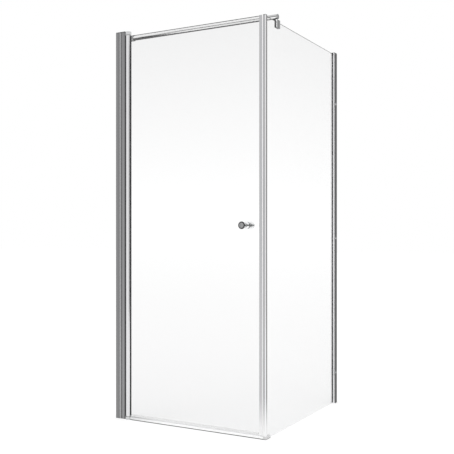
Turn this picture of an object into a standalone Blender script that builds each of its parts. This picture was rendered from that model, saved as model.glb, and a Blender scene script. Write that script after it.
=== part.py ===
"""A corner shower enclosure: a pivoting glass door beside a fixed glass side panel.

Sizes are in metres. X runs along the door from the hinge wall, Y runs from the front of the door
towards the far wall, and Z is up from the floor.
"""

from math import asin, cos, pi, radians, sin, tan

import bmesh
import bpy
from mathutils import Euler, Matrix, Vector

# Clearances
GAP = 0.0003
CLOSING_GAP = 0.0004
SEAL_CLEARANCE = 0.0008
OVERRUN = 0.004

# The whole enclosure
OUTER_WIDTH = 0.8655
OUTER_DEPTH = 0.8937
CHANNEL_TOP = 2.000
GLASS_THICKNESS = 0.006
DOOR_PLANE_Y = 0.008
DOOR_TOP_STEP = 0.0027
CLOSING_TOP_STEP = 0.0005
PANEL_TOP_STEP = 0.001
SIDE_GLASS_STEP = 0.001

# Wall profiles: a channel on the wall, and a jamb that slides in it
CHANNEL_WIDTH = 0.028
CHANNEL_REACH = 0.029
CHANNEL_WALL = 0.0018
JAMB_WALL = 0.0016
JAMB_OVERLAP = 0.0158
HINGE_JAMB_SHOW = 0.028
SIDE_JAMB_SHOW = 0.0047
PROFILE_ROUNDING = 0.0006
CAP_THICKNESS = 0.003
CAP_PLUG_DEPTH = 0.012
CAP_ROUNDING = 0.0005

# The side jamb's glass slot and lip, as shares of its width, and the chamber behind the slot
SIDE_SLOT_SHARE = 0.546
SIDE_LIP_SHARE = 0.122
SIDE_CHAMBER_DEPTH = 0.0033
SIDE_GASKET_RECESS = 0.002

# Holes for the wall screws
WALL_HOLE_RADIUS = 0.003
WALL_HOLE_RISE = 0.100

# Screws that lock each jamb in its channel, and their snap-on covers
LOCK_COUNT = 3
LOCK_LOWEST = 0.173
LOCK_TOP_DISTANCE = 0.290
LOCK_SHANK_RADIUS = 0.002
LOCK_GRIP = 0.0022
LOCK_HEAD_RADIUS = 0.0038
LOCK_HEAD_HEIGHT = 0.0016
COVER_SPACE = 0.0007
COVER_WALL = 0.001

# Hinge tube and its pivots
TUBE_RADIUS = 0.013
TUBE_WALL = 0.0022
TUBE_STANDOFF = 0.0047
TUBE_GASKET_WALL = 0.0007
HOUSING_OVERHANG = 0.002
HOUSING_FLOOR = 0.0042
HOUSING_ROOF = 0.0061
HOUSING_ROUNDING = 0.0015
ARM_WIDTH_SHARE = 0.68
ARM_LENGTH = 0.020
ARM_INSET = 0.0004
ARM_CLEARANCE = 0.003
PIN_RADIUS = 0.004
PIN_END_CLEARANCE = 0.0026
PIN_SET = 0.016
PIN_CHAMFER = 0.0005
BUSH_WALL = 0.0017
FLANGE_WIDTH = 0.003
FLANGE_THICKNESS = 0.001
PLUG_LENGTH = 0.022
PLUG_WALL = 0.0008
SEAL_WIDTH = 0.008

# Closing edge of the door and corner post
MAGNET_THICKNESS = 0.0025
MAGNET_WIDTH = 0.011
GROOVE_WIDTH = 0.009
GROOVE_DEPTH = 0.002
CLOSING_DEPTH = 0.015
CLOSING_SLOT_DEPTH = 0.009
CLOSING_WEB = 0.0035
POST_WEB = 0.0023
POST_LIP = 0.0018
POST_FRONT_WALL = 0.0037
POST_BACK_WALL = 0.0025
POST_ROUNDING = 0.002
POST_GASKET_WALL = 0.0006
POST_CAP_THICKNESS = 0.002

# Strip under the side panel, and the threshold with the seal above it
SIDE_STRIP_HEIGHT = 0.003
SIDE_STRIP_WIDTH = 0.008
FOOT_HEIGHT = 0.0143
THRESHOLD_DEPTH = 0.048
THRESHOLD_HEIGHT = 0.0122
THRESHOLD_FLAT = 0.020
THRESHOLD_BACK_HEIGHT = 0.0027
THRESHOLD_WALL = 0.0016
THRESHOLD_ROUNDING = 0.002
BASE_STRIP_HEIGHT = 0.003
BASE_STRIP_INSET = 0.0005
DOOR_CLEARANCE = 0.0018
DOOR_SEAL_GRIP = 0.008
DOOR_SEAL_WALL = 0.0015
DOOR_SEAL_FLOOR = 0.0028
DOOR_SEAL_LIP = 0.0012
DOOR_SEAL_LIP_DROP = 0.0016
DOOR_SEAL_LIP_LEAN = 0.0014

# Knobs, one on each face of the door
KNOB_HEIGHT = 0.9964
KNOB_SETBACK = 0.0701
KNOB_LENGTH = 0.048
KNOB_FLANGE_RADIUS = 0.0182
KNOB_FLANGE_THICKNESS = 0.003
KNOB_DISC_RADIUS = 0.018
KNOB_DISC_THICKNESS = 0.009
KNOB_DISC_ROUNDING = 0.0035
KNOB_NECK_RADIUS = 0.0085
KNOB_NECK_LENGTH = 0.008
KNOB_GASKET_INSET = 0.0022
KNOB_GASKET_THICKNESS = 0.001
KNOB_BOLT_RADIUS = 0.003
KNOB_BOLT_CLEARANCE = 0.002
KNOB_BORE_DEPTH = 0.018
KNOB_GRUB_SETBACK = 0.0035

# Set screws of the knob, the wall socket and the glass clamp
GRUB_RADIUS = 0.002
GRUB_CHAMFER = 0.0004

# Stabiliser bar, its wall socket and the glass clamp
BAR_Y = 0.1335
BAR_RADIUS = 0.012
BAR_WALL = 0.0015
BAR_CAP_THICKNESS = 0.0015
BAR_CAP_PLUG_LENGTH = 0.0008
SOCKET_WALL = 0.0027
SOCKET_LENGTH = 0.022
SOCKET_BASE = 0.003
SOCKET_HOLE_RADIUS = 0.0025
SOCKET_ROUNDING = 0.001
SOCKET_GRUB_SHARE = 0.68
CLAMP_LENGTH = 0.037
CLAMP_HEIGHT = 0.040
CLAMP_CROWN = 0.0087
CLAMP_NECK = 0.0045
CLAMP_CHEEK = 0.0039
CLAMP_ROUNDING = 0.0025
CLAMP_PAD_THICKNESS = 0.001
CLAMP_PAD_MARGIN = 0.003
STUD_RADIUS = 0.002
STUD_NECK_RADIUS = 0.004
STUD_SET = 0.006
STUD_REACH = 0.005

# Roundness
ROUND_STEPS = 24
SMALL_STEPS = 12
CORNER_STEPS = 3
KNOB_CURVE_STEPS = 4
MERGE_DISTANCE = 1e-6
SMOOTH_ANGLE = radians(35)

# Wall profiles, worked out from the sizes above
HINGE_JAMB_REACH = CHANNEL_REACH + HINGE_JAMB_SHOW
SIDE_JAMB_REACH = CHANNEL_REACH + SIDE_JAMB_SHOW
JAMB_WIDTH = CHANNEL_WIDTH - 2 * (CHANNEL_WALL + GAP)
JAMB_START = CHANNEL_REACH - JAMB_OVERLAP
JAMB_LOW = CHANNEL_WALL + GAP
JAMB_HIGH = JAMB_LOW + JAMB_WIDTH
PROFILE_TOP = CHANNEL_TOP - CAP_THICKNESS - GAP

# The hinge, from the bottom up
HINGE_X = HINGE_JAMB_REACH + TUBE_STANDOFF + TUBE_RADIUS
HOUSING_RADIUS = TUBE_RADIUS + HOUSING_OVERHANG
ARM_FRONT = JAMB_LOW + JAMB_WALL + ARM_INSET
ARM_BACK = ARM_FRONT + ARM_WIDTH_SHARE * (JAMB_WIDTH - 2 * JAMB_WALL)
ARM_X = HINGE_JAMB_REACH - ARM_LENGTH
THRESHOLD_LOW = BASE_STRIP_HEIGHT + GAP
THRESHOLD_TOP = THRESHOLD_LOW + THRESHOLD_HEIGHT
BUSH_RADIUS = PIN_RADIUS + GAP + BUSH_WALL
BUSH_LENGTH = THRESHOLD_TOP - HOUSING_FLOOR - GAP
TOP_HOUSING_HEIGHT = BUSH_LENGTH + GAP + HOUSING_ROOF
TOP_HOUSING_BOTTOM = PROFILE_TOP - TOP_HOUSING_HEIGHT
TUBE_BOTTOM = THRESHOLD_TOP + 2 * GAP + FLANGE_THICKNESS
TUBE_TOP = TOP_HOUSING_BOTTOM - 2 * GAP - FLANGE_THICKNESS
PIN_REACH = 2 * GAP + FLANGE_THICKNESS + BUSH_LENGTH - PIN_END_CLEARANCE
PLUG_FLAT = PIN_RADIUS + GAP + PLUG_WALL
HALF_GLASS = GLASS_THICKNESS / 2
GLASS_FIT = HALF_GLASS + GAP
TUBE_SLOT_HALF = GLASS_FIT + TUBE_GASKET_WALL + GAP

# Heights of the panes and the posts
DOOR_TOP = TUBE_TOP - DOOR_TOP_STEP
CLOSING_TOP = DOOR_TOP + CLOSING_TOP_STEP
PANEL_TOP = DOOR_TOP + PANEL_TOP_STEP
SIDE_GLASS_TOP = PANEL_TOP - max(CAP_THICKNESS, POST_CAP_THICKNESS) - SIDE_GLASS_STEP
SIDE_PROFILE_TOP = PANEL_TOP - CAP_THICKNESS - GAP
POST_TOP = PANEL_TOP - POST_CAP_THICKNESS - GAP
POST_LOW = FOOT_HEIGHT + GAP
DOOR_BOTTOM = THRESHOLD_TOP + DOOR_CLEARANCE
DOOR_GLASS_BOTTOM = THRESHOLD_TOP + SEAL_CLEARANCE + DOOR_SEAL_LIP_DROP + DOOR_SEAL_FLOOR + GAP

# Places across the front
POST_SLOT_HALF = GLASS_FIT + POST_GASKET_WALL + GAP
POST_WIDTH = POST_LIP + 2 * POST_SLOT_HALF + POST_WEB + GROOVE_DEPTH
POST_DEPTH = DOOR_PLANE_Y + GROOVE_WIDTH / 2 + POST_BACK_WALL
POST_X = OUTER_WIDTH - POST_WIDTH
SIDE_GLASS_X = OUTER_WIDTH - POST_LIP - POST_SLOT_HALF
CLOSING_FACE_X = POST_X - 2 * (GAP + MAGNET_THICKNESS) - CLOSING_GAP
CLOSING_X = CLOSING_FACE_X - GROOVE_DEPTH - CLOSING_WEB - CLOSING_SLOT_DEPTH
DOOR_GLASS_X = HINGE_X + PLUG_FLAT + GAP + TUBE_GASKET_WALL + GAP
THRESHOLD_START = HINGE_X + HOUSING_RADIUS + GAP

# Places along the side panel
SIDE_SLOT_HALF = SIDE_SLOT_SHARE * JAMB_WIDTH / 2
SIDE_GASKET_THICKNESS = SIDE_SLOT_HALF - GLASS_FIT - GAP
SIDE_CHANNEL_X = SIDE_GLASS_X - SIDE_SLOT_HALF - SIDE_LIP_SHARE * JAMB_WIDTH - JAMB_LOW
SIDE_JAMB_FRONT = OUTER_DEPTH - SIDE_JAMB_REACH
SIDE_JAMB_BACK = OUTER_DEPTH - JAMB_START
SIDE_SLOT_BACK = SIDE_JAMB_BACK - SIDE_CHAMBER_DEPTH - 2 * JAMB_WALL

# Lock screws and knobs
LOCK_REACH = (JAMB_START + CHANNEL_REACH) / 2
LOCK_SPACING = (PANEL_TOP - LOCK_TOP_DISTANCE - LOCK_LOWEST) / (LOCK_COUNT - 1)
LOCK_HEIGHTS = [LOCK_LOWEST + number * LOCK_SPACING for number in range(LOCK_COUNT)]
LOCK_SHANK_LENGTH = CHANNEL_WALL + JAMB_WALL + 2 * GAP + LOCK_GRIP
COVER_RADIUS = LOCK_HEAD_RADIUS + COVER_SPACE + COVER_WALL
COVER_HEIGHT = LOCK_HEAD_HEIGHT + GAP + COVER_WALL
KNOB_X = CLOSING_X - KNOB_SETBACK
KNOB_SEAT = GLASS_FIT + KNOB_GASKET_THICKNESS + GAP
GLASS_HOLE_RADIUS = KNOB_BOLT_RADIUS + KNOB_BOLT_CLEARANCE

# Bar and clamp, from the side panel's top edge up
CLAMP_SLOT_HALF = GLASS_FIT + CLAMP_PAD_THICKNESS + GAP
CLAMP_HALF = CLAMP_SLOT_HALF + CLAMP_CHEEK
CLAMP_SLOT_TOP = SIDE_GLASS_TOP + GAP
CLAMP_TOP = CLAMP_SLOT_TOP + CLAMP_CROWN
CLAMP_BOTTOM = CLAMP_TOP - CLAMP_HEIGHT
CLAMP_SCREW_Z = (CLAMP_BOTTOM + CLAMP_SLOT_TOP) / 2
BAR_Z = CLAMP_TOP + CLAMP_NECK + BAR_RADIUS
SOCKET_RADIUS = BAR_RADIUS + GAP + SOCKET_WALL
SOCKET_GRUB_X = SOCKET_GRUB_SHARE * SOCKET_LENGTH

# The part's own origin: the middle of its box, on the floor
BOX_RIGHT = SIDE_CHANNEL_X + CHANNEL_WIDTH + GAP + COVER_HEIGHT
BOX_FRONT = DOOR_PLANE_Y - KNOB_SEAT - KNOB_LENGTH
ORIGIN = Vector((BOX_RIGHT / 2, (BOX_FRONT + OUTER_DEPTH) / 2, 0))

# Which way an outline or a turned shape faces
UPRIGHT = Euler((0, 0, 0))
UPSIDE_DOWN = Euler((pi, 0, 0))
ALONG_X = Euler((pi / 2, 0, pi / 2))
TO_FRONT = Euler((pi / 2, 0, 0))
TO_BACK = Euler((-pi / 2, 0, 0))
TO_RIGHT = Euler((0, pi / 2, 0))

# Colour, roughness, metallic and transmission
FINISHES = {
    "satin_aluminium": ((0.56, 0.57, 0.58), 0.28, 1.0, 0.0),
    "bright_aluminium": ((0.74, 0.75, 0.76), 0.18, 1.0, 0.0),
    "chrome": ((0.80, 0.81, 0.82), 0.06, 1.0, 0.0),
    "steel": ((0.62, 0.62, 0.60), 0.30, 1.0, 0.0),
    "glass": ((0.97, 0.98, 0.98), 0.02, 0.0, 1.0),
    "clear_seal": ((0.86, 0.87, 0.87), 0.25, 0.0, 0.6),
    "white_seal": ((0.88, 0.88, 0.88), 0.40, 0.0, 0.0),
    "grey_plastic": ((0.30, 0.31, 0.32), 0.40, 0.0, 0.0),
    "dark_seal": ((0.06, 0.06, 0.065), 0.55, 0.0, 0.0),
    "nylon": ((0.80, 0.80, 0.78), 0.45, 0.0, 0.0),
}


def clear_scene():
    for obj in list(bpy.data.objects):
        bpy.data.objects.remove(obj, do_unlink=True)


def new_collection(name):
    collection = bpy.data.collections.new(name)
    bpy.context.scene.collection.children.link(collection)
    return collection


def new_empty(name, location, parent=None):
    empty = bpy.data.objects.new(name, None)
    empty.location = location
    empty.parent = parent
    PARTS.objects.link(empty)
    return empty


def linked(name, data, location, turn):
    obj = bpy.data.objects.new(name, data)
    obj.location = location
    obj.rotation_euler = turn
    PARTS.objects.link(obj)
    return obj


def shifted(place, distance, turn):
    """A place moved along the way that a shape with this turn faces."""
    step = Vector((0, 0, distance))
    step.rotate(turn)
    return Vector(place) + step


def rectangle(x0, y0, x1, y1):
    return [(x0, y0), (x1, y0), (x1, y1), (x0, y1)]


def outline(*corners):
    """A closed outline. A corner is (x, y), or (x, y, radius) where it is rounded."""
    points = []
    count = len(corners)
    for index, corner in enumerate(corners):
        if len(corner) < 3:
            points.append(corner)
            continue
        here = Vector(corner[:2])
        to_last = (Vector(corners[index - 1][:2]) - here).normalized()
        to_next = (Vector(corners[(index + 1) % count][:2]) - here).normalized()
        half = to_last.angle(to_next) / 2
        centre = here + (to_last + to_next).normalized() * (corner[2] / sin(half))
        start = here + to_last * (corner[2] / tan(half)) - centre
        end = here + to_next * (corner[2] / tan(half)) - centre
        sweep = start.angle_signed(end)
        for step in range(CORNER_STEPS + 1):
            partly = Matrix.Rotation(-sweep * step / CORNER_STEPS, 2)
            points.append(tuple(centre + partly @ start))
    return points


def arc(centre, radius, start, end, steps):
    angles = [start + (end - start) * step / steps for step in range(steps + 1)]
    return [(centre[0] + radius * cos(angle), centre[1] + radius * sin(angle)) for angle in angles]


def extrusion(name, loops, low, high, turn=UPRIGHT):
    """A straight profile: its loops are drawn across, and it runs from low to high."""
    curve = bpy.data.curves.new(name, "CURVE")
    curve.dimensions = "2D"
    curve.fill_mode = "BOTH"
    curve.extrude = (high - low) / 2
    for loop in loops:
        spline = curve.splines.new("POLY")
        spline.points.add(len(loop) - 1)
        for point, (x, y) in zip(spline.points, loop):
            point.co = (x, y, 0, 1)
        spline.use_cyclic_u = True
    return linked(name, curve, shifted((0, 0, 0), (low + high) / 2, turn), turn)


def box(name, low, high):
    """A box between two opposite corners."""
    low, high = Vector(low), Vector(high)
    mesh = bpy.data.meshes.new(name)
    shape = bmesh.new()
    bmesh.ops.create_cube(shape, size=1)
    bmesh.ops.scale(shape, vec=high - low, verts=shape.verts)
    shape.to_mesh(mesh)
    shape.free()
    return linked(name, mesh, (low + high) / 2, UPRIGHT)


def rod(name, start, radius, length, turn):
    """A plain cylinder that runs from its start, the way that it faces."""
    mesh = bpy.data.meshes.new(name)
    shape = bmesh.new()
    bmesh.ops.create_cone(
        shape, cap_ends=True, segments=SMALL_STEPS, radius1=radius, radius2=radius, depth=length
    )
    bmesh.ops.translate(shape, vec=(0, 0, length / 2), verts=shape.verts)
    shape.to_mesh(mesh)
    shape.free()
    return linked(name, mesh, start, turn)


def turned(name, profile, location, turn, steps=ROUND_STEPS):
    """A turned shape. Its profile of (radius, height) runs down the outer side and up any bore."""
    mesh = bpy.data.meshes.new(name)
    count = len(profile)
    edges = [(index, index + 1) for index in range(count - 1)]
    if profile[0][0] > 0:
        edges.append((count - 1, 0))
    mesh.from_pydata([(radius, 0, height) for radius, height in profile], edges, [])
    obj = linked(name, mesh, location, turn)
    screw = obj.modifiers.new("turn", "SCREW")
    screw.angle = 2 * pi
    screw.steps = steps
    screw.render_steps = steps
    screw.use_merge_vertices = True
    screw.merge_threshold = MERGE_DISTANCE
    screw.use_smooth_shade = True
    return obj


def as_mesh(obj):
    """A curve made a mesh with welded caps, in the same place and under the same name."""
    if obj.type == "MESH":
        return obj
    bpy.context.view_layer.update()
    name = obj.name
    place = obj.matrix_world.copy()
    graph = bpy.context.evaluated_depsgraph_get()
    mesh = bpy.data.meshes.new_from_object(obj.evaluated_get(graph))
    shape = bmesh.new()
    shape.from_mesh(mesh)
    bmesh.ops.remove_doubles(shape, verts=shape.verts, dist=MERGE_DISTANCE)
    bmesh.ops.recalc_face_normals(shape, faces=shape.faces)
    shape.to_mesh(mesh)
    shape.free()
    bpy.data.objects.remove(obj, do_unlink=True)
    mesh.name = name
    solid = linked(name, mesh, (0, 0, 0), UPRIGHT)
    solid.matrix_world = place
    return solid


def combine(obj, others, operation):
    """Cuts or joins helper shapes, all in one step, and hides them."""
    solid = as_mesh(obj)
    helpers = bpy.data.collections.new(f"{solid.name}_{operation.lower()}")
    CUTTERS.children.link(helpers)
    for other in others:
        helper = as_mesh(other)
        PARTS.objects.unlink(helper)
        helpers.objects.link(helper)
        helper.parent = ROOT
        helper.hide_render = True
        helper.display_type = "WIRE"
    modifier = solid.modifiers.new(operation.lower(), "BOOLEAN")
    modifier.operation = operation
    modifier.operand_type = "COLLECTION"
    modifier.collection = helpers
    modifier.solver = "EXACT"
    return solid


def cut(obj, *cutters):
    return combine(obj, cutters, "DIFFERENCE")


def join(obj, *others):
    return combine(obj, others, "UNION")


def soften(obj, width):
    bevel = obj.modifiers.new("edges", "BEVEL")
    bevel.width = width
    bevel.segments = 1
    bevel.limit_method = "ANGLE"
    bevel.angle_limit = SMOOTH_ANGLE
    return obj


def dress(obj, body, finish):
    """Gives a piece its material and hangs it on its body, where it already lies."""
    colour, roughness, metallic, transmission = FINISHES[finish]
    material = bpy.data.materials.new(obj.name)
    material.use_nodes = True
    shader = material.node_tree.nodes["Principled BSDF"]
    shader.inputs["Base Color"].default_value = (*colour, 1)
    shader.inputs["Roughness"].default_value = roughness
    shader.inputs["Metallic"].default_value = metallic
    shader.inputs["Transmission Weight"].default_value = transmission
    obj.data.materials.clear()
    obj.data.materials.append(material)
    if obj.type == "MESH":
        obj.data.shade_smooth()
        obj.data.set_sharp_from_angle(angle=SMOOTH_ANGLE)
    obj.parent = body
    if body is DOOR:
        obj.location -= DOOR.location


def hinge_wall(reach, across):
    """A point of the profiles on the hinge wall, from its distance out of the wall and across."""
    return reach, across


def side_wall(reach, across):
    """The same for the profiles on the far wall."""
    return SIDE_CHANNEL_X + across, OUTER_DEPTH - reach


def channel_outline(wall):
    """The U of a wall channel, open away from its wall."""
    corners = [
        (0, 0),
        (CHANNEL_REACH, 0, PROFILE_ROUNDING),
        (CHANNEL_REACH, CHANNEL_WALL),
        (CHANNEL_WALL, CHANNEL_WALL),
        (CHANNEL_WALL, CHANNEL_WIDTH - CHANNEL_WALL),
        (CHANNEL_REACH, CHANNEL_WIDTH - CHANNEL_WALL),
        (CHANNEL_REACH, CHANNEL_WIDTH, PROFILE_ROUNDING),
        (0, CHANNEL_WIDTH),
    ]
    return outline(*[(*wall(*corner[:2]), *corner[2:]) for corner in corners])


def lock_hole(place, turn):
    """A clearance hole through the channel and the wall of the jamb behind it."""
    depth = CHANNEL_WALL + GAP + JAMB_WALL + OVERRUN / 2
    return rod("lock_hole", shifted(place, -depth, turn), LOCK_SHANK_RADIUS + GAP, depth + OVERRUN, turn)


def lock_set(side, number, place, turn):
    """A pan-head screw on the channel's face, and the cover over it."""
    seat = shifted(place, GAP, turn)
    screw = [
        (0, LOCK_HEAD_HEIGHT),
        (LOCK_HEAD_RADIUS - PIN_CHAMFER, LOCK_HEAD_HEIGHT),
        (LOCK_HEAD_RADIUS, LOCK_HEAD_HEIGHT - PIN_CHAMFER),
        (LOCK_HEAD_RADIUS, 0),
        (LOCK_SHANK_RADIUS, 0),
        (LOCK_SHANK_RADIUS, PIN_CHAMFER - LOCK_SHANK_LENGTH),
        (LOCK_SHANK_RADIUS - PIN_CHAMFER, -LOCK_SHANK_LENGTH),
        (0, -LOCK_SHANK_LENGTH),
    ]
    inner = COVER_RADIUS - COVER_WALL
    cover = [
        (0, COVER_HEIGHT),
        (inner, COVER_HEIGHT),
        (COVER_RADIUS, COVER_HEIGHT - COVER_WALL),
        (COVER_RADIUS, 0),
        (inner, 0),
        (inner, COVER_HEIGHT - COVER_WALL),
        (0, COVER_HEIGHT - COVER_WALL),
    ]
    dress(turned(f"{side}_lock_screw_{number}", screw, seat, turn, SMALL_STEPS), ROOT, "steel")
    dress(turned(f"{side}_screw_cover_{number}", cover, seat, turn, ROUND_STEPS), ROOT, "chrome")


def make_hinge_profiles():
    """Channel on the hinge wall, the jamb in it, their cap and the screws that lock them."""
    channel = extrusion("hinge_wall_channel", [channel_outline(hinge_wall)], 0, PROFILE_TOP)
    outer = outline(
        (JAMB_START, JAMB_LOW),
        (HINGE_JAMB_REACH, JAMB_LOW, PROFILE_ROUNDING),
        (HINGE_JAMB_REACH, JAMB_HIGH, PROFILE_ROUNDING),
        (JAMB_START, JAMB_HIGH),
    )
    hollow = rectangle(
        JAMB_START + JAMB_WALL, JAMB_LOW + JAMB_WALL, HINGE_JAMB_REACH - JAMB_WALL, JAMB_HIGH - JAMB_WALL
    )
    jamb = extrusion("hinge_jamb", [outer, hollow], 0, PROFILE_TOP)
    channel_holes = []
    jamb_holes = []
    for number, height in enumerate(LOCK_HEIGHTS, 1):
        place = (LOCK_REACH, CHANNEL_WIDTH, height)
        channel_holes.append(lock_hole(place, TO_BACK))
        jamb_holes.append(lock_hole(place, TO_BACK))
        lock_set("hinge", number, place, TO_BACK)
        start = (-OVERRUN, CHANNEL_WIDTH / 2, height + WALL_HOLE_RISE)
        depth = 2 * OVERRUN + CHANNEL_WALL
        channel_holes.append(rod("wall_hole", start, WALL_HOLE_RADIUS, depth, TO_RIGHT))
    for low, high in ((-OVERRUN, THRESHOLD_TOP + GAP), (TOP_HOUSING_BOTTOM - GAP, CHANNEL_TOP)):
        notch = box(
            "notch",
            (HINGE_JAMB_REACH - JAMB_WALL - OVERRUN, ARM_FRONT - GAP, low),
            (HINGE_JAMB_REACH + OVERRUN, ARM_BACK + GAP, high),
        )
        jamb_holes.append(notch)
    dress(cut(channel, *channel_holes), ROOT, "satin_aluminium")
    dress(cut(jamb, *jamb_holes), ROOT, "satin_aluminium")

    low_z = CHANNEL_TOP - CAP_THICKNESS
    cap = box("hinge_top_cap", (0, 0, low_z), (HINGE_JAMB_REACH, CHANNEL_WIDTH, CHANNEL_TOP))
    plug = box(
        "plug",
        (JAMB_START + JAMB_WALL + GAP, JAMB_LOW + JAMB_WALL + GAP, low_z - CAP_PLUG_DEPTH),
        (ARM_X - ARM_CLEARANCE, JAMB_HIGH - JAMB_WALL - GAP, low_z + CAP_THICKNESS / 2),
    )
    dress(soften(join(cap, plug), CAP_ROUNDING), ROOT, "grey_plastic")


def make_pivots():
    """The two housings fixed in the jamb, with their bushes and the strip beside the tube."""
    bore = BUSH_RADIUS + GAP
    bore_depth = BUSH_LENGTH + GAP
    rounding = HOUSING_ROUNDING
    for name, low, height, mouth, turn in (
        ("top", TOP_HOUSING_BOTTOM, TOP_HOUSING_HEIGHT, TOP_HOUSING_BOTTOM, UPRIGHT),
        ("bottom", 0, THRESHOLD_TOP, THRESHOLD_TOP, UPSIDE_DOWN),
    ):
        shoulder = (HOUSING_RADIUS - rounding, height - rounding)
        head = [(0, height)]
        head += reversed(arc(shoulder, rounding, 0, pi / 2, CORNER_STEPS))
        head += [(HOUSING_RADIUS, 0), (bore, 0), (bore, bore_depth), (0, bore_depth)]
        housing = turned(f"{name}_pivot_housing", head, (HINGE_X, DOOR_PLANE_Y, mouth), turn)
        arm = box("arm", (ARM_X, ARM_FRONT, low), (HINGE_X - bore - GAP, ARM_BACK, low + height))
        dress(join(housing, arm), ROOT, "chrome")
        inner = PIN_RADIUS + GAP
        flange_face = -GAP - FLANGE_THICKNESS
        bush = [
            (BUSH_RADIUS, BUSH_LENGTH),
            (BUSH_RADIUS, -GAP),
            (BUSH_RADIUS + FLANGE_WIDTH, -GAP),
            (BUSH_RADIUS + FLANGE_WIDTH, flange_face),
            (inner, flange_face),
            (inner, BUSH_LENGTH),
        ]
        dress(turned(f"{name}_pivot_bush", bush, (HINGE_X, DOOR_PLANE_Y, mouth), turn), ROOT, "nylon")

    half = SEAL_WIDTH / 2
    low = (HINGE_JAMB_REACH + GAP, DOOR_PLANE_Y - half, THRESHOLD_TOP + GAP)
    high = (HINGE_X - TUBE_RADIUS - CLOSING_GAP, DOOR_PLANE_Y + half, TOP_HOUSING_BOTTOM - GAP)
    dress(box("hinge_gap_seal", low, high), ROOT, "dark_seal")


def make_hinge_tube():
    """The door's round upright, with the plugs and pins that it turns on."""
    axis = (HINGE_X, DOOR_PLANE_Y)
    inner_radius = TUBE_RADIUS - TUBE_WALL
    open_outer = asin(TUBE_SLOT_HALF / TUBE_RADIUS)
    open_inner = asin(TUBE_SLOT_HALF / inner_radius)
    wall = arc(axis, TUBE_RADIUS, open_outer, 2 * pi - open_outer, ROUND_STEPS)
    wall += arc(axis, inner_radius, 2 * pi - open_inner, open_inner, ROUND_STEPS)
    dress(extrusion("hinge_tube", [wall], TUBE_BOTTOM, TUBE_TOP), DOOR, "bright_aluminium")

    plug = [
        (0, -PIN_SET - GAP),
        (PIN_RADIUS + GAP, -PIN_SET - GAP),
        (PIN_RADIUS + GAP, 0),
        (inner_radius - GAP, 0),
        (inner_radius - GAP, -PLUG_LENGTH),
        (0, -PLUG_LENGTH),
    ]
    pin = [
        (0, PIN_REACH),
        (PIN_RADIUS - PIN_CHAMFER, PIN_REACH),
        (PIN_RADIUS, PIN_REACH - PIN_CHAMFER),
        (PIN_RADIUS, PIN_CHAMFER - PIN_SET),
        (PIN_RADIUS - PIN_CHAMFER, -PIN_SET),
        (0, -PIN_SET),
    ]
    for name, end, turn in (("top", TUBE_TOP, UPRIGHT), ("bottom", TUBE_BOTTOM, UPSIDE_DOWN)):
        solid = turned(f"tube_{name}_plug", plug, (*axis, end), turn)
        flat = box(
            "flat",
            (HINGE_X + PLUG_FLAT, DOOR_PLANE_Y - TUBE_RADIUS, end - PLUG_LENGTH - OVERRUN),
            (HINGE_X + TUBE_RADIUS, DOOR_PLANE_Y + TUBE_RADIUS, end + PLUG_LENGTH + OVERRUN),
        )
        dress(cut(solid, flat), DOOR, "grey_plastic")
        dress(turned(f"{name}_pivot_pin", pin, (*axis, end), turn), DOOR, "steel")

    back = HINGE_X + PLUG_FLAT + GAP
    end = HINGE_X + HOUSING_RADIUS
    channel = glass_channel(back, end, TUBE_GASKET_WALL)
    dress(extrusion("tube_gasket", [channel], DOOR_GLASS_BOTTOM, DOOR_TOP), DOOR, "dark_seal")


def glass_channel(back, end, wall):
    """The U of a gasket round an edge of the door's glass, or of a glass in that place."""
    return [
        (back, DOOR_PLANE_Y - GLASS_FIT - wall),
        (end, DOOR_PLANE_Y - GLASS_FIT - wall),
        (end, DOOR_PLANE_Y - GLASS_FIT),
        (back + wall, DOOR_PLANE_Y - GLASS_FIT),
        (back + wall, DOOR_PLANE_Y + GLASS_FIT),
        (end, DOOR_PLANE_Y + GLASS_FIT),
        (end, DOOR_PLANE_Y + GLASS_FIT + wall),
        (back, DOOR_PLANE_Y + GLASS_FIT + wall),
    ]


def magnet_outline(face_x, outward):
    """A magnet strip on a face: its body outside, and its foot in the groove."""
    body = face_x + outward * GAP
    edge = body + outward * MAGNET_THICKNESS
    foot = face_x - outward * (GROOVE_DEPTH - GAP)
    half = MAGNET_WIDTH / 2
    half_foot = GROOVE_WIDTH / 2 - GAP
    return [
        (edge, DOOR_PLANE_Y - half),
        (edge, DOOR_PLANE_Y + half),
        (body, DOOR_PLANE_Y + half),
        (body, DOOR_PLANE_Y + half_foot),
        (foot, DOOR_PLANE_Y + half_foot),
        (foot, DOOR_PLANE_Y - half_foot),
        (body, DOOR_PLANE_Y - half_foot),
        (body, DOOR_PLANE_Y - half),
    ]


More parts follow.
